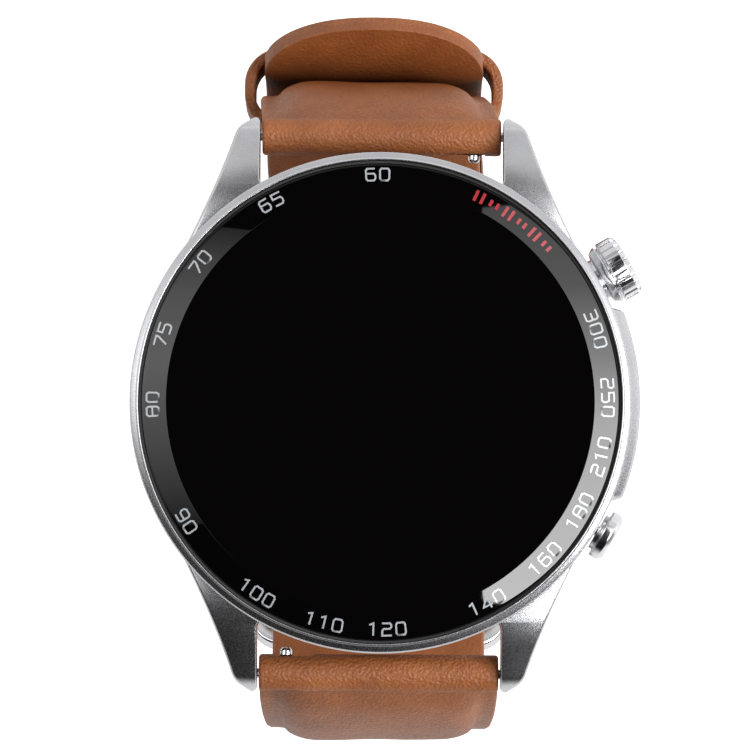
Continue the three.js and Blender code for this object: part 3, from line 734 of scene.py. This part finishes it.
def make_case_back():
    cover_edge = high("rear_cover")[0]
    cover = [(11.3, 1.3), (11.3, 0.5), (18.6, 0.75), (cover_edge, 1.6), (cover_edge, 2.2), (10.8, 2.2),
             (10.8, 1.3)]
    plate = turned("rear_cover_fine", rounded(cover, [0.02, 0.12, 1.5, 0.15, 0.05, 0.02, 0.02], 5), 192)
    screws = [r["pos"] for r in ({"pos": (low(n) + high(n)) / 2} for n in sorted(frame["nodes"])
                                 if n.startswith("case_back_screw"))]
    holes = [place(rod("hole", 1.35, 0, 1.5), Matrix.Translation((x * MM, y * MM, 0)))
             for x, y, _ in screws]
    contacts = [(low(n) + high(n)) / 2 for n in ("charging_contact_a", "charging_contact_b")]
    holes += [place(rod("hole", 1.1, 0, 3), Matrix.Translation((x * MM, y * MM, 0)))
              for x, y, _ in contacts]
    cut(plate, *holes)
    settle(plate, "case", "inner_steel", "rear_cover")
    for index, (x, y, _) in enumerate(screws):
        head = turned("screw", rounded([(0, 0.72), (1.2, 0.72), (1.2, 1.3), (0.55, 1.3), (0.55, 5.0),
                                        (0, 5.0)], [0, 0.12, 0.05, 0, 0.1, 0], 4, closed=False), 48, ring=False)
        for turn in range(2):
            slot = bpy.data.meshes.new("slot")
            work = bmesh.new()
            bmesh.ops.create_cube(work, size=1, matrix=Matrix.Rotation(turn * math.pi / 2, 4, "Z")
                                  @ Matrix.Diagonal((1.5 * MM, 0.3 * MM, 0.7 * MM, 1)))
            work.to_mesh(slot)
            work.free()
            cut(head, place(new_object("slot", slot), Matrix.Translation((0, 0, 0.7 * MM))))
        head.name = f"back_screw_{index + 1}"
        place(head, Matrix.Translation((x * MM, y * MM, 0)) @ Matrix.Rotation(index * 0.7, 4, "Z"))
        settle(head, "case", "inner_steel", f"case_back_screw_{index + 1}")
    window = [(0, 0), (10.2, 0), (11.0, 0.4), (11.0, 1.1), (0, 1.1)]
    dome = turned("sensor_window_fine", rounded(window, [0, 0.5, 0.3, 0.05, 0], 5, closed=False), 192,
                  ring=False, sharp_angle=60)
    settle(dome, "case", "black_glass", "sensor_window")
    for index, angle in enumerate(np.radians([45, 135, 225, 315])):
        lens = turned("lens", rounded([(0, -0.006), (1.5, -0.006), (1.5, 0.05), (0, 0.05)],
                                      [0, 0.004, 0, 0], 2, closed=False), 64, ring=False)
        lens.name = f"sensor_lens_{index + 1}"
        place(lens, Matrix.Translation((5.2 * MM * math.cos(angle), 5.2 * MM * math.sin(angle), 0)))
        settle(lens, "case", "circuit_board", material=MATERIALS["sensor_green"])
    iris = turned("sensor_iris", [(2.2, -0.006), (2.6, -0.006), (2.6, 0.05), (2.2, 0.05)], 96)
    settle(iris, "case", "inner_steel")


MATERIALS["sensor_green"] = moulded("sensor_green", (0.02, 0.10, 0.045), 0.25)


# ---------- Crown and pusher ----------

FLUTES = 22


def make_crown():
    profile = rounded([(1.0, 22.5), (1.95, 22.5), (1.95, 22.95), (2.45, 23.05), (2.85, 23.7),
                       (2.55, 23.82), (2.62, 23.95), (2.93, 24.02), (2.93, 25.35), (2.62, 25.78),
                       (2.2, 25.9), (1.7, 25.84), (0.0, 25.9), (0.0, 24.3), (1.0, 24.3)],
                      [0.03, 0.1, 0.05, 0.1, 0.1, 0.04, 0.04, 0.1, 0.12, 0.1, 0.1, 0.2, 0, 0, 0.03], 4)
    profile = np.array(profile)
    band = smoothstep(profile[:, 1], 23.9, 24.1) * (1 - smoothstep(profile[:, 1], 25.5, 25.85))
    band = band * (profile[:, 0] > 2.3)
    rows = []
    for angle in np.arange(FLUTES * 16) * 2 * math.pi / (FLUTES * 16):
        wave = math.cos(FLUTES * angle)
        groove = 0.24 * (1 - smoothstep(wave, -0.95, -0.3))
        radius = profile[:, 0] - groove * band
        rows.append(np.column_stack([radius * math.cos(angle), radius * math.sin(angle),
                                     profile[:, 1]]))
    cap = grid("crown_fluted_cap", rows, wrap_rows=True, sharp_angle=38)
    settle(radial(cap, CROWN_ANGLE), "crown", "polished_metal", "crown_cap")


def make_pusher():
    profile = rounded([(0, 17.9), (0.5, 17.9), (0.5, 18.6), (0.4, 18.6), (0.4, 18.9), (0.5, 18.9),
                       (0.5, 20.2), (0.42, 20.2), (0.42, 20.5), (0.5, 20.5), (0.5, 22.75),
                       (1.7, 22.75), (1.7, 23.1), (2.2, 23.12), (2.3, 23.3), (2.3, 23.95),
                       (1.95, 24.34), (0, 24.45)],
                      [0] * 11 + [0.06, 0.05, 0.1, 0.08, 0.2, 0.25, 0], 5, closed=False)
    cap = turned("pusher_mushroom", profile, 96, ring=False)
    settle(radial(cap, PUSHER_ANGLE), "pusher", "polished_metal", "pusher_cap")


# ---------- Spring bars ----------

def make_spring_bar(side):
    turn = half_turn if side == "6" else (lambda obj: obj)
    y, z = BAR_PIVOT
    tube = turned("tube", rounded([(0.56, -10.2), (0.75, -10.2), (0.75, 10.2), (0.56, 10.2)], 0.05, 3), 64)
    tube.name = f"bar_{side}_tube"
    pin = turned("pin", rounded([(0, -12.1), (0.45, -12.1), (0.45, -8.6), (0, -8.6)],
                                [0, 0.15, 0.05, 0], 4, closed=False), 48, ring=False)
    pin.name = f"bar_{side}_fixed_pin"
    body = f"strap_{side}_root"
    settle(turn(along_x(tube, y, z)), body, "inner_steel", f"spring_bar_{side}_tube")
    settle(turn(along_x(pin, y, z)), body, "inner_steel", f"spring_bar_{side}_fixed_pin")
    sliding = turned("slider", rounded([(0, 6.9), (0.45, 6.9), (0.45, 12.1), (0, 12.1)],
                                       [0, 0.05, 0.15, 0], 4, closed=False), 48, ring=False)
    sliding.name = f"bar_{side}_release_pin"
    settle(turn(along_x(sliding, y, z)), f"release_{side}", "polished_metal",
           f"spring_bar_{side}_release_pin")
    knob_y = 22.6
    shape = rounded([(0, -0.55), (0.34, -0.55), (0.55, -0.3), (0.55, 0.2), (0.3, 0.42), (0.27, 1.5),
                     (0, 1.5)], [0, 0.15, 0.2, 0.2, 0.1, 0.05, 0], 4, closed=False)
    knob = turned("knob", shape, 48, ring=False)
    knob.name = f"bar_{side}_knob"
    place(knob, Matrix.Translation((KNOB_X * MM, knob_y * MM, z * MM))
          @ Matrix.Rotation(-math.pi / 2, 4, "X"))
    settle(turn(knob), f"release_{side}", "polished_metal")


def squeeze_springs():
    """Gives the hidden springs of both spring bars and the pusher spring meshes of their own."""
    for side, sign in (("12", 1), ("6", -1)):
        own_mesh(frame["nodes"][f"spring_bar_{side}_coil"])
    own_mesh(frame["nodes"]["pusher_spring"])


# ---------- Strap ----------

def mirrored(points):
    return [np.array((-p[0], p[1])) for p in points]


def root_curve(t):
    """From the spring bar, out and back to where the loop's arc starts."""
    side = LOOP_CENTRE[0] + LOOP_RADIUS
    knots = [BAR_PIVOT, np.array((27.1, -1.5)), np.array((side, -8.0)), np.array((side, LOOP_CENTRE[1]))]
    return cubic(knots, t)


def cubic(knots, t):
    a, b, c, d = knots
    return (1 - t) ** 3 * a + 3 * (1 - t) ** 2 * t * b + 3 * (1 - t) * t ** 2 * c + t ** 3 * d


def on_arc(radius, degrees):
    return LOOP_CENTRE + radius * np.array((math.cos(math.radians(degrees)),
                                            math.sin(math.radians(degrees))))


def tangent(degrees):
    """The direction of travel along an arc toward falling angles."""
    return np.array((math.sin(math.radians(degrees)), -math.cos(math.radians(degrees))))


def arc_points(radius, start, end, count):
    return [on_arc(radius, a) for a in np.linspace(start, end, count)]


class Line:
    """A line in the (y, z) plane with outward normals and the distance along it."""

    def __init__(self, points):
        self.points = np.array(points)
        steps = np.linalg.norm(np.diff(self.points, axis=0), axis=1)
        self.distance = np.concatenate([[0], np.cumsum(steps)])
        self.length = self.distance[-1]
        tangent = np.gradient(self.points, self.distance, axis=0)
        tangent /= np.linalg.norm(tangent, axis=1)[:, None]
        self.out = np.stack([-tangent[:, 1], tangent[:, 0]], 1)


ROOT_STEPS = np.concatenate([np.linspace(0, 0.14, 18), np.linspace(0.165, 1, 30)])


def short_line():
    """The short half's middle, from the 12 o'clock bar to the buckle bar."""
    return Line([root_curve(t) for t in ROOT_STEPS] + arc_points(LOOP_RADIUS, -2, BUCKLE_ANGLE, 64))


def long_line():
    """The long half's middle, from the tip round the back and up to the 6 o'clock bar."""
    tail_start = on_arc(TAIL_RADIUS, 0)
    flare = [np.array((35.8, -7.5)), np.array((33.8, -9.8)), np.array((tail_start[0], -12.2)), tail_start]
    over_bar = on_arc(TAIL_RADIUS, BUCKLE_ANGLE)
    rising_angle = CROSSING_SWEEP - 180 - BUCKLE_ANGLE
    under_frame = mirrored([on_arc(LOOP_RADIUS, rising_angle)])[0]
    crossing = [over_bar, over_bar + 4.2 * tangent(BUCKLE_ANGLE),
                under_frame - 4.5 * tangent(-180 - rising_angle), under_frame]
    return Line([cubic(flare, t) for t in np.linspace(0, 1, 40) ** 1.7]
                + arc_points(TAIL_RADIUS, -2, BUCKLE_ANGLE, 60)
                + [cubic(crossing, t) for t in np.linspace(0.06, 1, 16)]
                + mirrored(arc_points(LOOP_RADIUS, rising_angle + 2, 0, 26))
                + mirrored([root_curve(t) for t in ROOT_STEPS[-2::-1]]))


EDGE = 0.3
TIP_EDGE = 0.1
COLUMNS = np.concatenate([[-1, -0.9985, -0.995, -0.988, -0.978, -0.966],
                          np.linspace(-0.94, 0.94, 41),
                          [0.966, 0.978, 0.988, 0.995, 0.9985, 1]])


def edge_inset(room, edge):
    """How far the surface pulls in near an edge, so that the edge is round."""
    t = np.clip(1 - np.asarray(room, float) / edge, 0, 1)
    return edge * (1 - np.sqrt(1 - t ** 2))


def side_wall(upper, under, end_ring, start_ring):
    """The faces that close one side of a layer: quads between its two surfaces and a disc at each end."""
    last = len(upper) + len(end_ring) + len(under) - 1
    pairs = len(under) - 1
    faces = [(i, i + 1, last - 1 - i, last - i) for i in range(pairs)]
    faces.append(range(pairs, last - pairs + 1))
    if start_ring:
        faces.append((0, *range(last, last + len(start_ring) + 1)))
    return faces


SKEW = 0.75


def skewed(across, points):
    """The strap hangs a little to the left behind 12 o'clock, as a buckled strap does."""
    behind = smoothstep(-points[:, 1], -2.5, 11) * (1 - smoothstep(-points[:, 1], 30, 44))
    return np.column_stack([across - SKEW * behind * (points[:, 0] > 0), points])


def layer(name, line, half_width, high_at, low_at, outer=True, tip_length=0.0, discs=()):
    """One leather layer: a closed skin round a line, between two offsets from it.

    high_at and low_at take the distance along the line and the place across it. A disc is
    (end, radius): the layer wraps a round bar at that end of the line, 0 or -1.
    """
    skips = {end: int(np.sum(np.abs(line.distance - line.distance[end]) < radius + 0.15))
             for end, radius in discs}
    rows = []
    for column in COLUMNS:
        across = column * half_width(line.distance)
        room = half_width(line.distance) - np.abs(across)
        if tip_length:
            along = np.clip(1 - line.distance / tip_length, 0, 1)
            power = TIP_BLUNTNESS
            reach = (np.abs(across / STRAP_HALF_WIDTH) ** power + along ** power) ** (1 / power)
            size = np.sqrt(across ** 2 + (along * tip_length) ** 2) / np.maximum(reach, 1e-6)
            room = np.where(line.distance < tip_length, (1 - reach) * size, room)
        edge = np.full_like(room, EDGE)
        if tip_length:
            edge = TIP_EDGE + (EDGE - TIP_EDGE) * smoothstep(line.distance, 20, 60)
        inset = edge_inset(np.maximum(room, 0), edge)
        top = high_at(line.distance, across)
        base = low_at(line.distance, across)
        inset = np.minimum(inset, top - base - 0.02)
        top_inset, base_inset = (inset, 0 * inset) if outer else (0 * inset, inset)
        upper = list(skewed(across, line.points + line.out * (top - top_inset)[:, None]))
        under = list(skewed(across, line.points + line.out * (base + base_inset)[:, None]))[::-1]
        start_ring, end_ring = [], []
        for end, radius in discs:
            ring = disc_outline(line, end, radius - inset[end], across[end])
            if end == 0:
                upper, under, start_ring = upper[1:], under[:-skips[end]], ring[::-1]
            else:
                upper, under, end_ring = upper[:-1], under[skips[end]:], ring
        rows.append(upper + end_ring + under + start_ring)
    return grid(name, rows, cap=side_wall(upper, under, end_ring, start_ring), sharp_angle=50)


DISC_STEPS = 34


def disc_outline(line, end, radius, across):
    """Three quarters of a disc round one end of the line, from its outer side and back."""
    centre = line.points[end]
    out = line.out[end]
    along = np.array((out[1], -out[0])) * (1 if end == 0 else -1)
    angles = np.linspace(0, 1.5 * math.pi, DISC_STEPS)
    return [np.array((across, *(centre + radius * (math.cos(a) * out - math.sin(a) * along))))
            for a in angles]


def short_half(distance):
    taper = smoothstep(distance, 3, 24)
    return ROOT_HALF_WIDTH + (STRAP_HALF_WIDTH - ROOT_HALF_WIDTH) * taper




def flange_share(from_bar):
    """How far the sides have dropped to the flange: not at the roll, and fully behind it."""
    return smoothstep(from_bar, 0.5, 1.5)


def waviness(distance, across):
    """The slight unevenness of a padded leather strap."""
    return (0.05 * np.sin(0.31 * across + 0.4) * np.sin(0.23 * distance + 1.1)
            + 0.035 * np.sin(0.83 * across + 0.9 * np.sin(0.3 * distance)) + 0.02 * np.sin(0.9 * distance))


def leather_top(from_bar, across, half, flat_half):
    """Half the strap's thickness, at a distance from the spring bar and a place across."""
    full = PADDED_HALF + (flat_half - PADDED_HALF) * smoothstep(from_bar, 12, 26)
    crease = 0.75 * np.exp(-((from_bar - 0.85) / np.where(from_bar < 0.85, 0.4, 2.4)) ** 2)
    room = half - np.abs(across)
    pad = (1 - (1 - np.clip((room - 1.2) / 3.7, 0, 1)) ** 2.4) * smoothstep(room, 1.2, 2.2)
    side = FLANGE_HALF + (full - FLANGE_HALF) * smoothstep(from_bar, 18, 32)
    behind = side + (full - side) * pad
    share = flange_share(from_bar)
    calm = 1 - smoothstep(from_bar, 15, 30)
    return full * (1 - share) + behind * share - crease + waviness(from_bar, across) * calm


def part_of(line, start, end):
    """The stretch of a line between two distances along it."""
    keep = (line.distance > start) & (line.distance < line.length - end)
    return Line(line.points[keep]), float(line.distance[keep][0])


def make_short_strap():
    line = short_line()
    half = short_half

    def top(distance, across):
        end = smoothstep(distance, line.length - 9, line.length - 3)
        flat = np.full_like(distance, FLAT_HALF)
        padded = leather_top(distance, across, half(distance), FLAT_HALF)
        return padded * (1 - end) + flat * end

    upper = layer("strap_short_upper", line, half, top, lambda d, a: np.full_like(d, 0.0),
                  discs=((0, ROLL_RADIUS), (-1, 1.6)))
    lining_line, start = part_of(line, 2.2, 2.1)

    def under(distance, across):
        return -leather_top(distance + start, across, half(distance + start), FLAT_HALF)

    lining = layer("strap_short_lining", lining_line, lambda d: half(d + start),
                   lambda d, a: np.full_like(d, 0.01), under, outer=False)
    notch = notch_tool()
    cut(upper, notch)
    tang_slot = boxed("slot", 2.6, 5.5, 4.6, 0, *BUCKLE_PIVOT)
    cut(upper, tang_slot)
    for obj, slot, nodes in ((upper, "brown_leather", ("strap_12_upper_root", "strap_12_upper")),
                             (lining, "leather_lining", ("strap_12_lining_root", "strap_12_lining"))):
        settle(obj, None, slot, *nodes)
        bend(obj)


def bend(obj):
    """Bakes the piece's transform into its mesh."""
    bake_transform(obj)


def notch_tool(side=1):
    """The slot in the roll that the quick-release knob slides in."""
    tool = boxed("notch", 3.5, 3.2, 1.5, KNOB_X - 0.75, BAR_PIVOT[0] - 1.6, BAR_PIVOT[1])
    return half_turn(tool) if side < 0 else tool


def boxed(name, size_x, size_y, size_z, x, y, z):
    mesh = bpy.data.meshes.new(name)
    work = bmesh.new()
    bmesh.ops.create_cube(work, size=1, matrix=Matrix.Translation((x * MM, y * MM, z * MM))
                          @ Matrix.Diagonal((size_x * MM, size_y * MM, size_z * MM, 1)))
    work.to_mesh(mesh)
    work.free()
    return new_object(name, mesh)


TIP_LENGTH = 7.0
TIP_BLUNTNESS = 2.3


def make_long_strap():
    line = long_line()

    def half(distance):
        from_bar = line.length - distance
        width = short_half(from_bar)
        near = np.clip(np.maximum(distance, 0.003) / TIP_LENGTH, 0, 1)
        blunt = (1 - (1 - near) ** TIP_BLUNTNESS) ** (1 / TIP_BLUNTNESS)
        return np.where(distance < TIP_LENGTH, STRAP_HALF_WIDTH * blunt, width)

    def top(distance, across):
        from_bar = line.length - distance
        return leather_top(from_bar, across, half(distance), TAIL_HALF)

    upper = layer("strap_long_upper", line, half, top, lambda d, a: np.full_like(d, 0.0),
                  tip_length=TIP_LENGTH, discs=((-1, ROLL_RADIUS),))
    lining_line, _ = part_of(line, -1, 2.2)
    gap = line.length - lining_line.length
    lining = layer("strap_long_lining", lining_line, half, lambda d, a: np.full_like(d, 0.01),
                   lambda d, a: -top(d, a), outer=False, tip_length=TIP_LENGTH)
    cut(upper, merged([notch_tool(-1)] + hole_tools(line)))
    cut(lining, merged(hole_tools(line)))
    for obj, slot, nodes in ((upper, "brown_leather", ("strap_6_upper_root", "strap_6_upper")),
                             (lining, "leather_lining", ("strap_6_lining_root", "strap_6_lining"))):
        settle(obj, None, slot, *nodes)
        bend(obj)


HOLE_RADIUS = 0.85
HOLE_SPACING = 6.5


def hole_tools(line):
    """The row of adjustment holes. The tang goes through the one beside the buckle bar."""
    at_bar = int(np.argmin(np.linalg.norm(line.points - on_arc(TAIL_RADIUS, BUCKLE_ANGLE), axis=1)))
    tools = []
    for step in range(-4, 3):
        distance = line.distance[at_bar] + 2.6 + step * HOLE_SPACING
        spot = [np.interp(distance, line.distance, line.points[:, i]) for i in (0, 1)]
        out = [np.interp(distance, line.distance, line.out[:, i]) for i in (0, 1)]
        tool = rod("hole", HOLE_RADIUS if step else 1.2, -3, 3, segments=32)
        lean = -math.atan2(out[0], out[1])
        tools.append(place(tool, Matrix.Translation((0, spot[0] * MM, spot[1] * MM))
                           @ Matrix.Rotation(lean, 4, "X")))
    return tools


def make_keeper(name, angle, strap_half, body, node):
    """A leather loop round both strap halves."""
    inner_low = -strap_half - 0.3
    inner_high = TAIL_RADIUS - LOOP_RADIUS + TAIL_HALF + 0.1
    half = 11.1
    wall = 1.0
    corners = [2.2, 2.2, 2.7, 2.7]
    inner = rounded([(-half, inner_low), (half, inner_low), (half, inner_high), (-half, inner_high)],
                    corners, 14)
    outer = rounded([(-half - wall, inner_low - wall), (half + wall, inner_low - wall),
                     (half + wall, inner_high + wall), (-half - wall, inner_high + wall)],
                    [corner + wall for corner in corners], 14)
    inner, outer = np.array(inner), np.array(outer)
    section = rounded([(-3.5, 0), (3.5, 0), (3.5, 1), (-3.5, 1)], 0.28, 5)
    rows = []
    for a, b in zip(inner, outer):
        rows.append([(*(a + (b - a) * depth), along) for along, depth in section])
    rows = np.array(rows)
    rows = np.stack([rows[:, :, 0], -rows[:, :, 2], rows[:, :, 1]], 2)
    loop = grid(name, rows, wrap_rows=True, sharp_angle=50)
    spot = on_arc(LOOP_RADIUS, angle)
    skew = SKEW if spot[0] > 0 else 0.0
    place(loop, Matrix.Translation((-skew * MM, spot[0] * MM, spot[1] * MM))
          @ Matrix.Rotation(math.radians(angle - 90), 4, "X"))
    settle(loop, body, "brown_leather", node)


# ---------- Buckle ----------

def in_buckle(obj):
    turn = math.radians(BUCKLE_ANGLE - 90 - BUCKLE_TURN)
    return place(obj, Matrix.Translation((0, BUCKLE_PIVOT[0] * MM, BUCKLE_PIVOT[1] * MM))
                 @ Matrix.Rotation(turn, 4, "X"))


def swept(name, path, half_side, half_out, sharp_angle=45):
    """A rounded rectangular bar along an open path in the XY plane."""
    path = np.array(path, float)
    tangent = np.gradient(path, axis=0)
    tangent /= np.linalg.norm(tangent, axis=1)[:, None]
    side = np.stack([tangent[:, 1], -tangent[:, 0]], 1)
    section = rounded([(-half_side, -half_out), (half_side, -half_out), (half_side, half_out),
                       (-half_side, half_out)], 0.35, 5)
    rows = [[(*(p + s * a), b) for a, b in section] for p, s in zip(path, side)]
    return grid(name, rows, cap=True, sharp_angle=sharp_angle)


def make_buckle():
    side = STRAP_HALF_WIDTH + 0.6 + 0.85
    front = 11.2
    path = rounded([(-side, -1.3), (-side, front), (side, front), (side, -1.3)], [0, 2.4, 2.4, 0],
                   12, closed=False)
    frame_piece = swept("buckle_frame_fine", path, 0.85, 0.8)
    hole = along_x(rod("hole", 0.55, -12.2, 12.2), 0, 0)
    cut(frame_piece, hole)
    settle(in_buckle(frame_piece), "buckle", "polished_metal", "buckle_frame")
    bar = turned("buckle_bar_fine", rounded([(0, -12.0), (0.45, -12.0), (0.45, -10.4), (0.75, -10.4),
                                             (0.75, 10.4), (0.45, 10.4), (0.45, 12.0), (0, 12.0)],
                                            [0, 0.1, 0, 0.06, 0.06, 0, 0.1, 0], 4, closed=False), 48,
                 ring=False)
    settle(in_buckle(along_x(bar, 0, 0)), "strap_back", "inner_steel", "buckle_bar")
    line = rounded([(0.9, 0.1), (4, 0.45), (8, 1.05), (10.4, 1.5), (12.6, 1.55)], [0, 3, 3, 3, 0], 6,
                   closed=False)
    line = np.array(line)
    tangent = np.gradient(line, axis=0)
    tangent /= np.linalg.norm(tangent, axis=1)[:, None]
    out = np.stack([-tangent[:, 1], tangent[:, 0]], 1)
    rows = []
    for point, normal, t in zip(line, out, np.linspace(0, 1, len(line))):
        width = 0.9 - 0.25 * t
        section = rounded([(-width, -0.48), (width, -0.48), (width, 0.48), (-width, 0.48)], 0.25, 4)
        rows.append([(a, *(point + normal * b)) for a, b in section])
    tongue = grid("buckle_tongue", rows, cap=True, sharp_angle=45)
    settle(in_buckle(tongue), "tang", "polished_metal", "buckle_tang")
    eye = turned("tang_eye", rounded([(0.88, -0.9), (1.35, -0.9), (1.35, 0.9), (0.88, 0.9)], 0.12, 4), 64)
    settle(in_buckle(along_x(eye, 0, 0)), "tang", "polished_metal")


# ---------- Camera, light and floor ----------

PHOTO_SCALE = 11.05 / MM
CAMERA_DISTANCE = 0.600
CAMERA_TILT = math.radians(2.4)
CAMERA_ROLL = math.radians(0.35)
SENSOR = 36.0


def make_camera():
    target = Vector((-0.49 * MM, 2.38 * MM, GLASS_TOP * MM))
    camera_data = bpy.data.cameras.new("camera")
    camera_data.sensor_width = SENSOR
    lug_plane = CAMERA_DISTANCE + 0.005
    camera_data.lens = SENSOR * lug_plane * PHOTO_SCALE / 750
    camera_data.clip_start = 0.01
    camera = bpy.data.objects.new("camera", camera_data)
    bpy.context.scene.collection.objects.link(camera)
    back = Vector((0, -math.sin(CAMERA_TILT), math.cos(CAMERA_TILT)))
    camera.matrix_world = (Matrix.Translation(target + back * CAMERA_DISTANCE)
                           @ Matrix.Rotation(-CAMERA_TILT * -1, 4, "X")
                           @ Matrix.Rotation(CAMERA_ROLL, 4, "Z"))
    bpy.context.scene.camera = camera


def softbox(name, centre, size, radiance, stops):
    """A rectangular light facing down. The stops set its strength from its -Y end to its +Y end."""
    data = bpy.data.lights.new(name, "AREA")
    data.shape = "RECTANGLE"
    data.size, data.size_y = size
    data.energy = radiance * math.pi * size[0] * size[1]
    data.use_nodes = True
    tree = data.node_tree
    geometry = tree.nodes.new("ShaderNodeNewGeometry")
    split = tree.nodes.new("ShaderNodeSeparateXYZ")
    tree.links.new(geometry.outputs["Parametric"], split.inputs["Vector"])
    strength = sky_ramp(tree, split.outputs["Y"], stops)
    tree.links.new(strength, tree.nodes["Emission"].inputs["Strength"])
    lamp = bpy.data.objects.new(name, data)
    bpy.context.scene.collection.objects.link(lamp)
    lamp.location = centre
    lamp.visible_camera = False


def sky_ramp(tree, source, stops):
    ramp = tree.nodes.new("ShaderNodeValToRGB")
    elements = ramp.color_ramp.elements
    while len(elements) < len(stops):
        elements.new(0.5)
    for element, (where, value) in zip(elements, stops):
        element.position = where
        element.color = (value, value, value, 1)
    tree.links.new(source, ramp.inputs["Fac"])
    return ramp.outputs["Color"]


def make_light():
    bpy.context.scene.view_settings.view_transform = "Standard"
    softbox("right_softbox", (0.87, 0.05, 1.0), (1.06, 1.30), 12.5,
            [(0.0, 1.0), (0.3, 0.85), (0.45, 0.75), (0.62, 0.4), (0.8, 0.17), (1.0, 0.12)])
    softbox("left_softbox", (-0.91, 0.13, 1.0), (1.18, 0.98), 2.6,
            [(0.0, 0.1), (0.24, 0.5), (0.54, 0.97), (0.78, 0.7), (1.0, 0.15)])
    world = bpy.data.worlds.new("studio")
    world.use_nodes = True
    bpy.context.scene.world = world
    tree = world.node_tree
    coordinates = tree.nodes.new("ShaderNodeTexCoord")
    split = tree.nodes.new("ShaderNodeSeparateXYZ")
    tree.links.new(coordinates.outputs["Generated"], split.inputs["Vector"])
    height = sky_ramp(tree, split.outputs["Z"], [(0.0, 0.9), (0.4, 0.9), (0.6, 0.95), (0.69, 0.6),
                                                 (0.765, 0.0)])
    horizon = sky_ramp(tree, split.outputs["Z"], [(0.0, 0.5), (0.12, 0.35), (0.3, 0.0)])
    lean = tree.nodes.new("ShaderNodeVectorMath")
    lean.operation = "DOT_PRODUCT"
    lean.inputs[1].default_value = (0.03, 0.50, 0)
    tree.links.new(coordinates.outputs["Generated"], lean.inputs[0])
    shift = tree.nodes.new("ShaderNodeMath")
    shift.operation = "ADD"
    shift.inputs[1].default_value = 0.5
    tree.links.new(lean.outputs["Value"], shift.inputs[0])
    side = sky_ramp(tree, shift.outputs["Value"], [(0.0, 0.0), (0.38, 0.02), (0.5, 0.8), (0.62, 1.0)])
    lit = sky_mix(tree, "MULTIPLY", height, side)
    total = sky_mix(tree, "ADD", lit, horizon)
    tree.links.new(total, tree.nodes["Background"].inputs["Color"])


def sky_mix(tree, blend, a, b):
    node = tree.nodes.new("ShaderNodeMix")
    node.data_type = "RGBA"
    node.blend_type = blend
    node.inputs[0].default_value = 1.0
    tree.links.new(a, node.inputs[6])
    tree.links.new(b, node.inputs[7])
    return node.outputs[2]


def make_floor():
    lowest = cad_bounds[0][2] - 0.0006
    mesh = bpy.data.meshes.new("floor")
    reach = 3.0
    mesh.from_pydata([(-reach, -reach, lowest), (reach, -reach, lowest), (reach, reach, lowest),
                      (-reach, reach, lowest)], [], [(0, 1, 2, 3)])
    floor = new_object("floor", mesh)
    m = Nodes("floor_paper")
    m.link(m.ramp(m.noise(0.004, 2), [(0.3, 0.60), (0.7, 0.63)]), m.shader.inputs["Base Color"])
    m.value("Roughness", 0.9)
    m.value("Emission Color", (1, 1, 1, 1))
    rays = m.tree.nodes.new("ShaderNodeLightPath")
    seen = m.math("MULTIPLY", rays.outputs["Is Camera Ray"], 0.75)
    mirrored_part = m.math("MULTIPLY", rays.outputs["Is Glossy Ray"], 0.25)
    m.link(m.math("ADD", seen, mirrored_part), m.shader.inputs["Emission Strength"])
    mesh.materials.append(m.material)


# ---------- Assembly ----------

dress_cad_nodes()
make_camera()
make_case()
make_bezel_and_glass()
make_scale()
make_case_back()
make_crown()
make_pusher()
for bar_side in ("12", "6"):
    make_spring_bar(bar_side)
squeeze_springs()
make_short_strap()
make_long_strap()
make_keeper("keeper_free", -3, 1.5, "keeper", "free_keeper")
make_keeper("keeper_fixed", BUCKLE_ANGLE + 15, FLAT_HALF, "strap_back", "fixed_keeper")
make_buckle()
make_light()
make_floor()
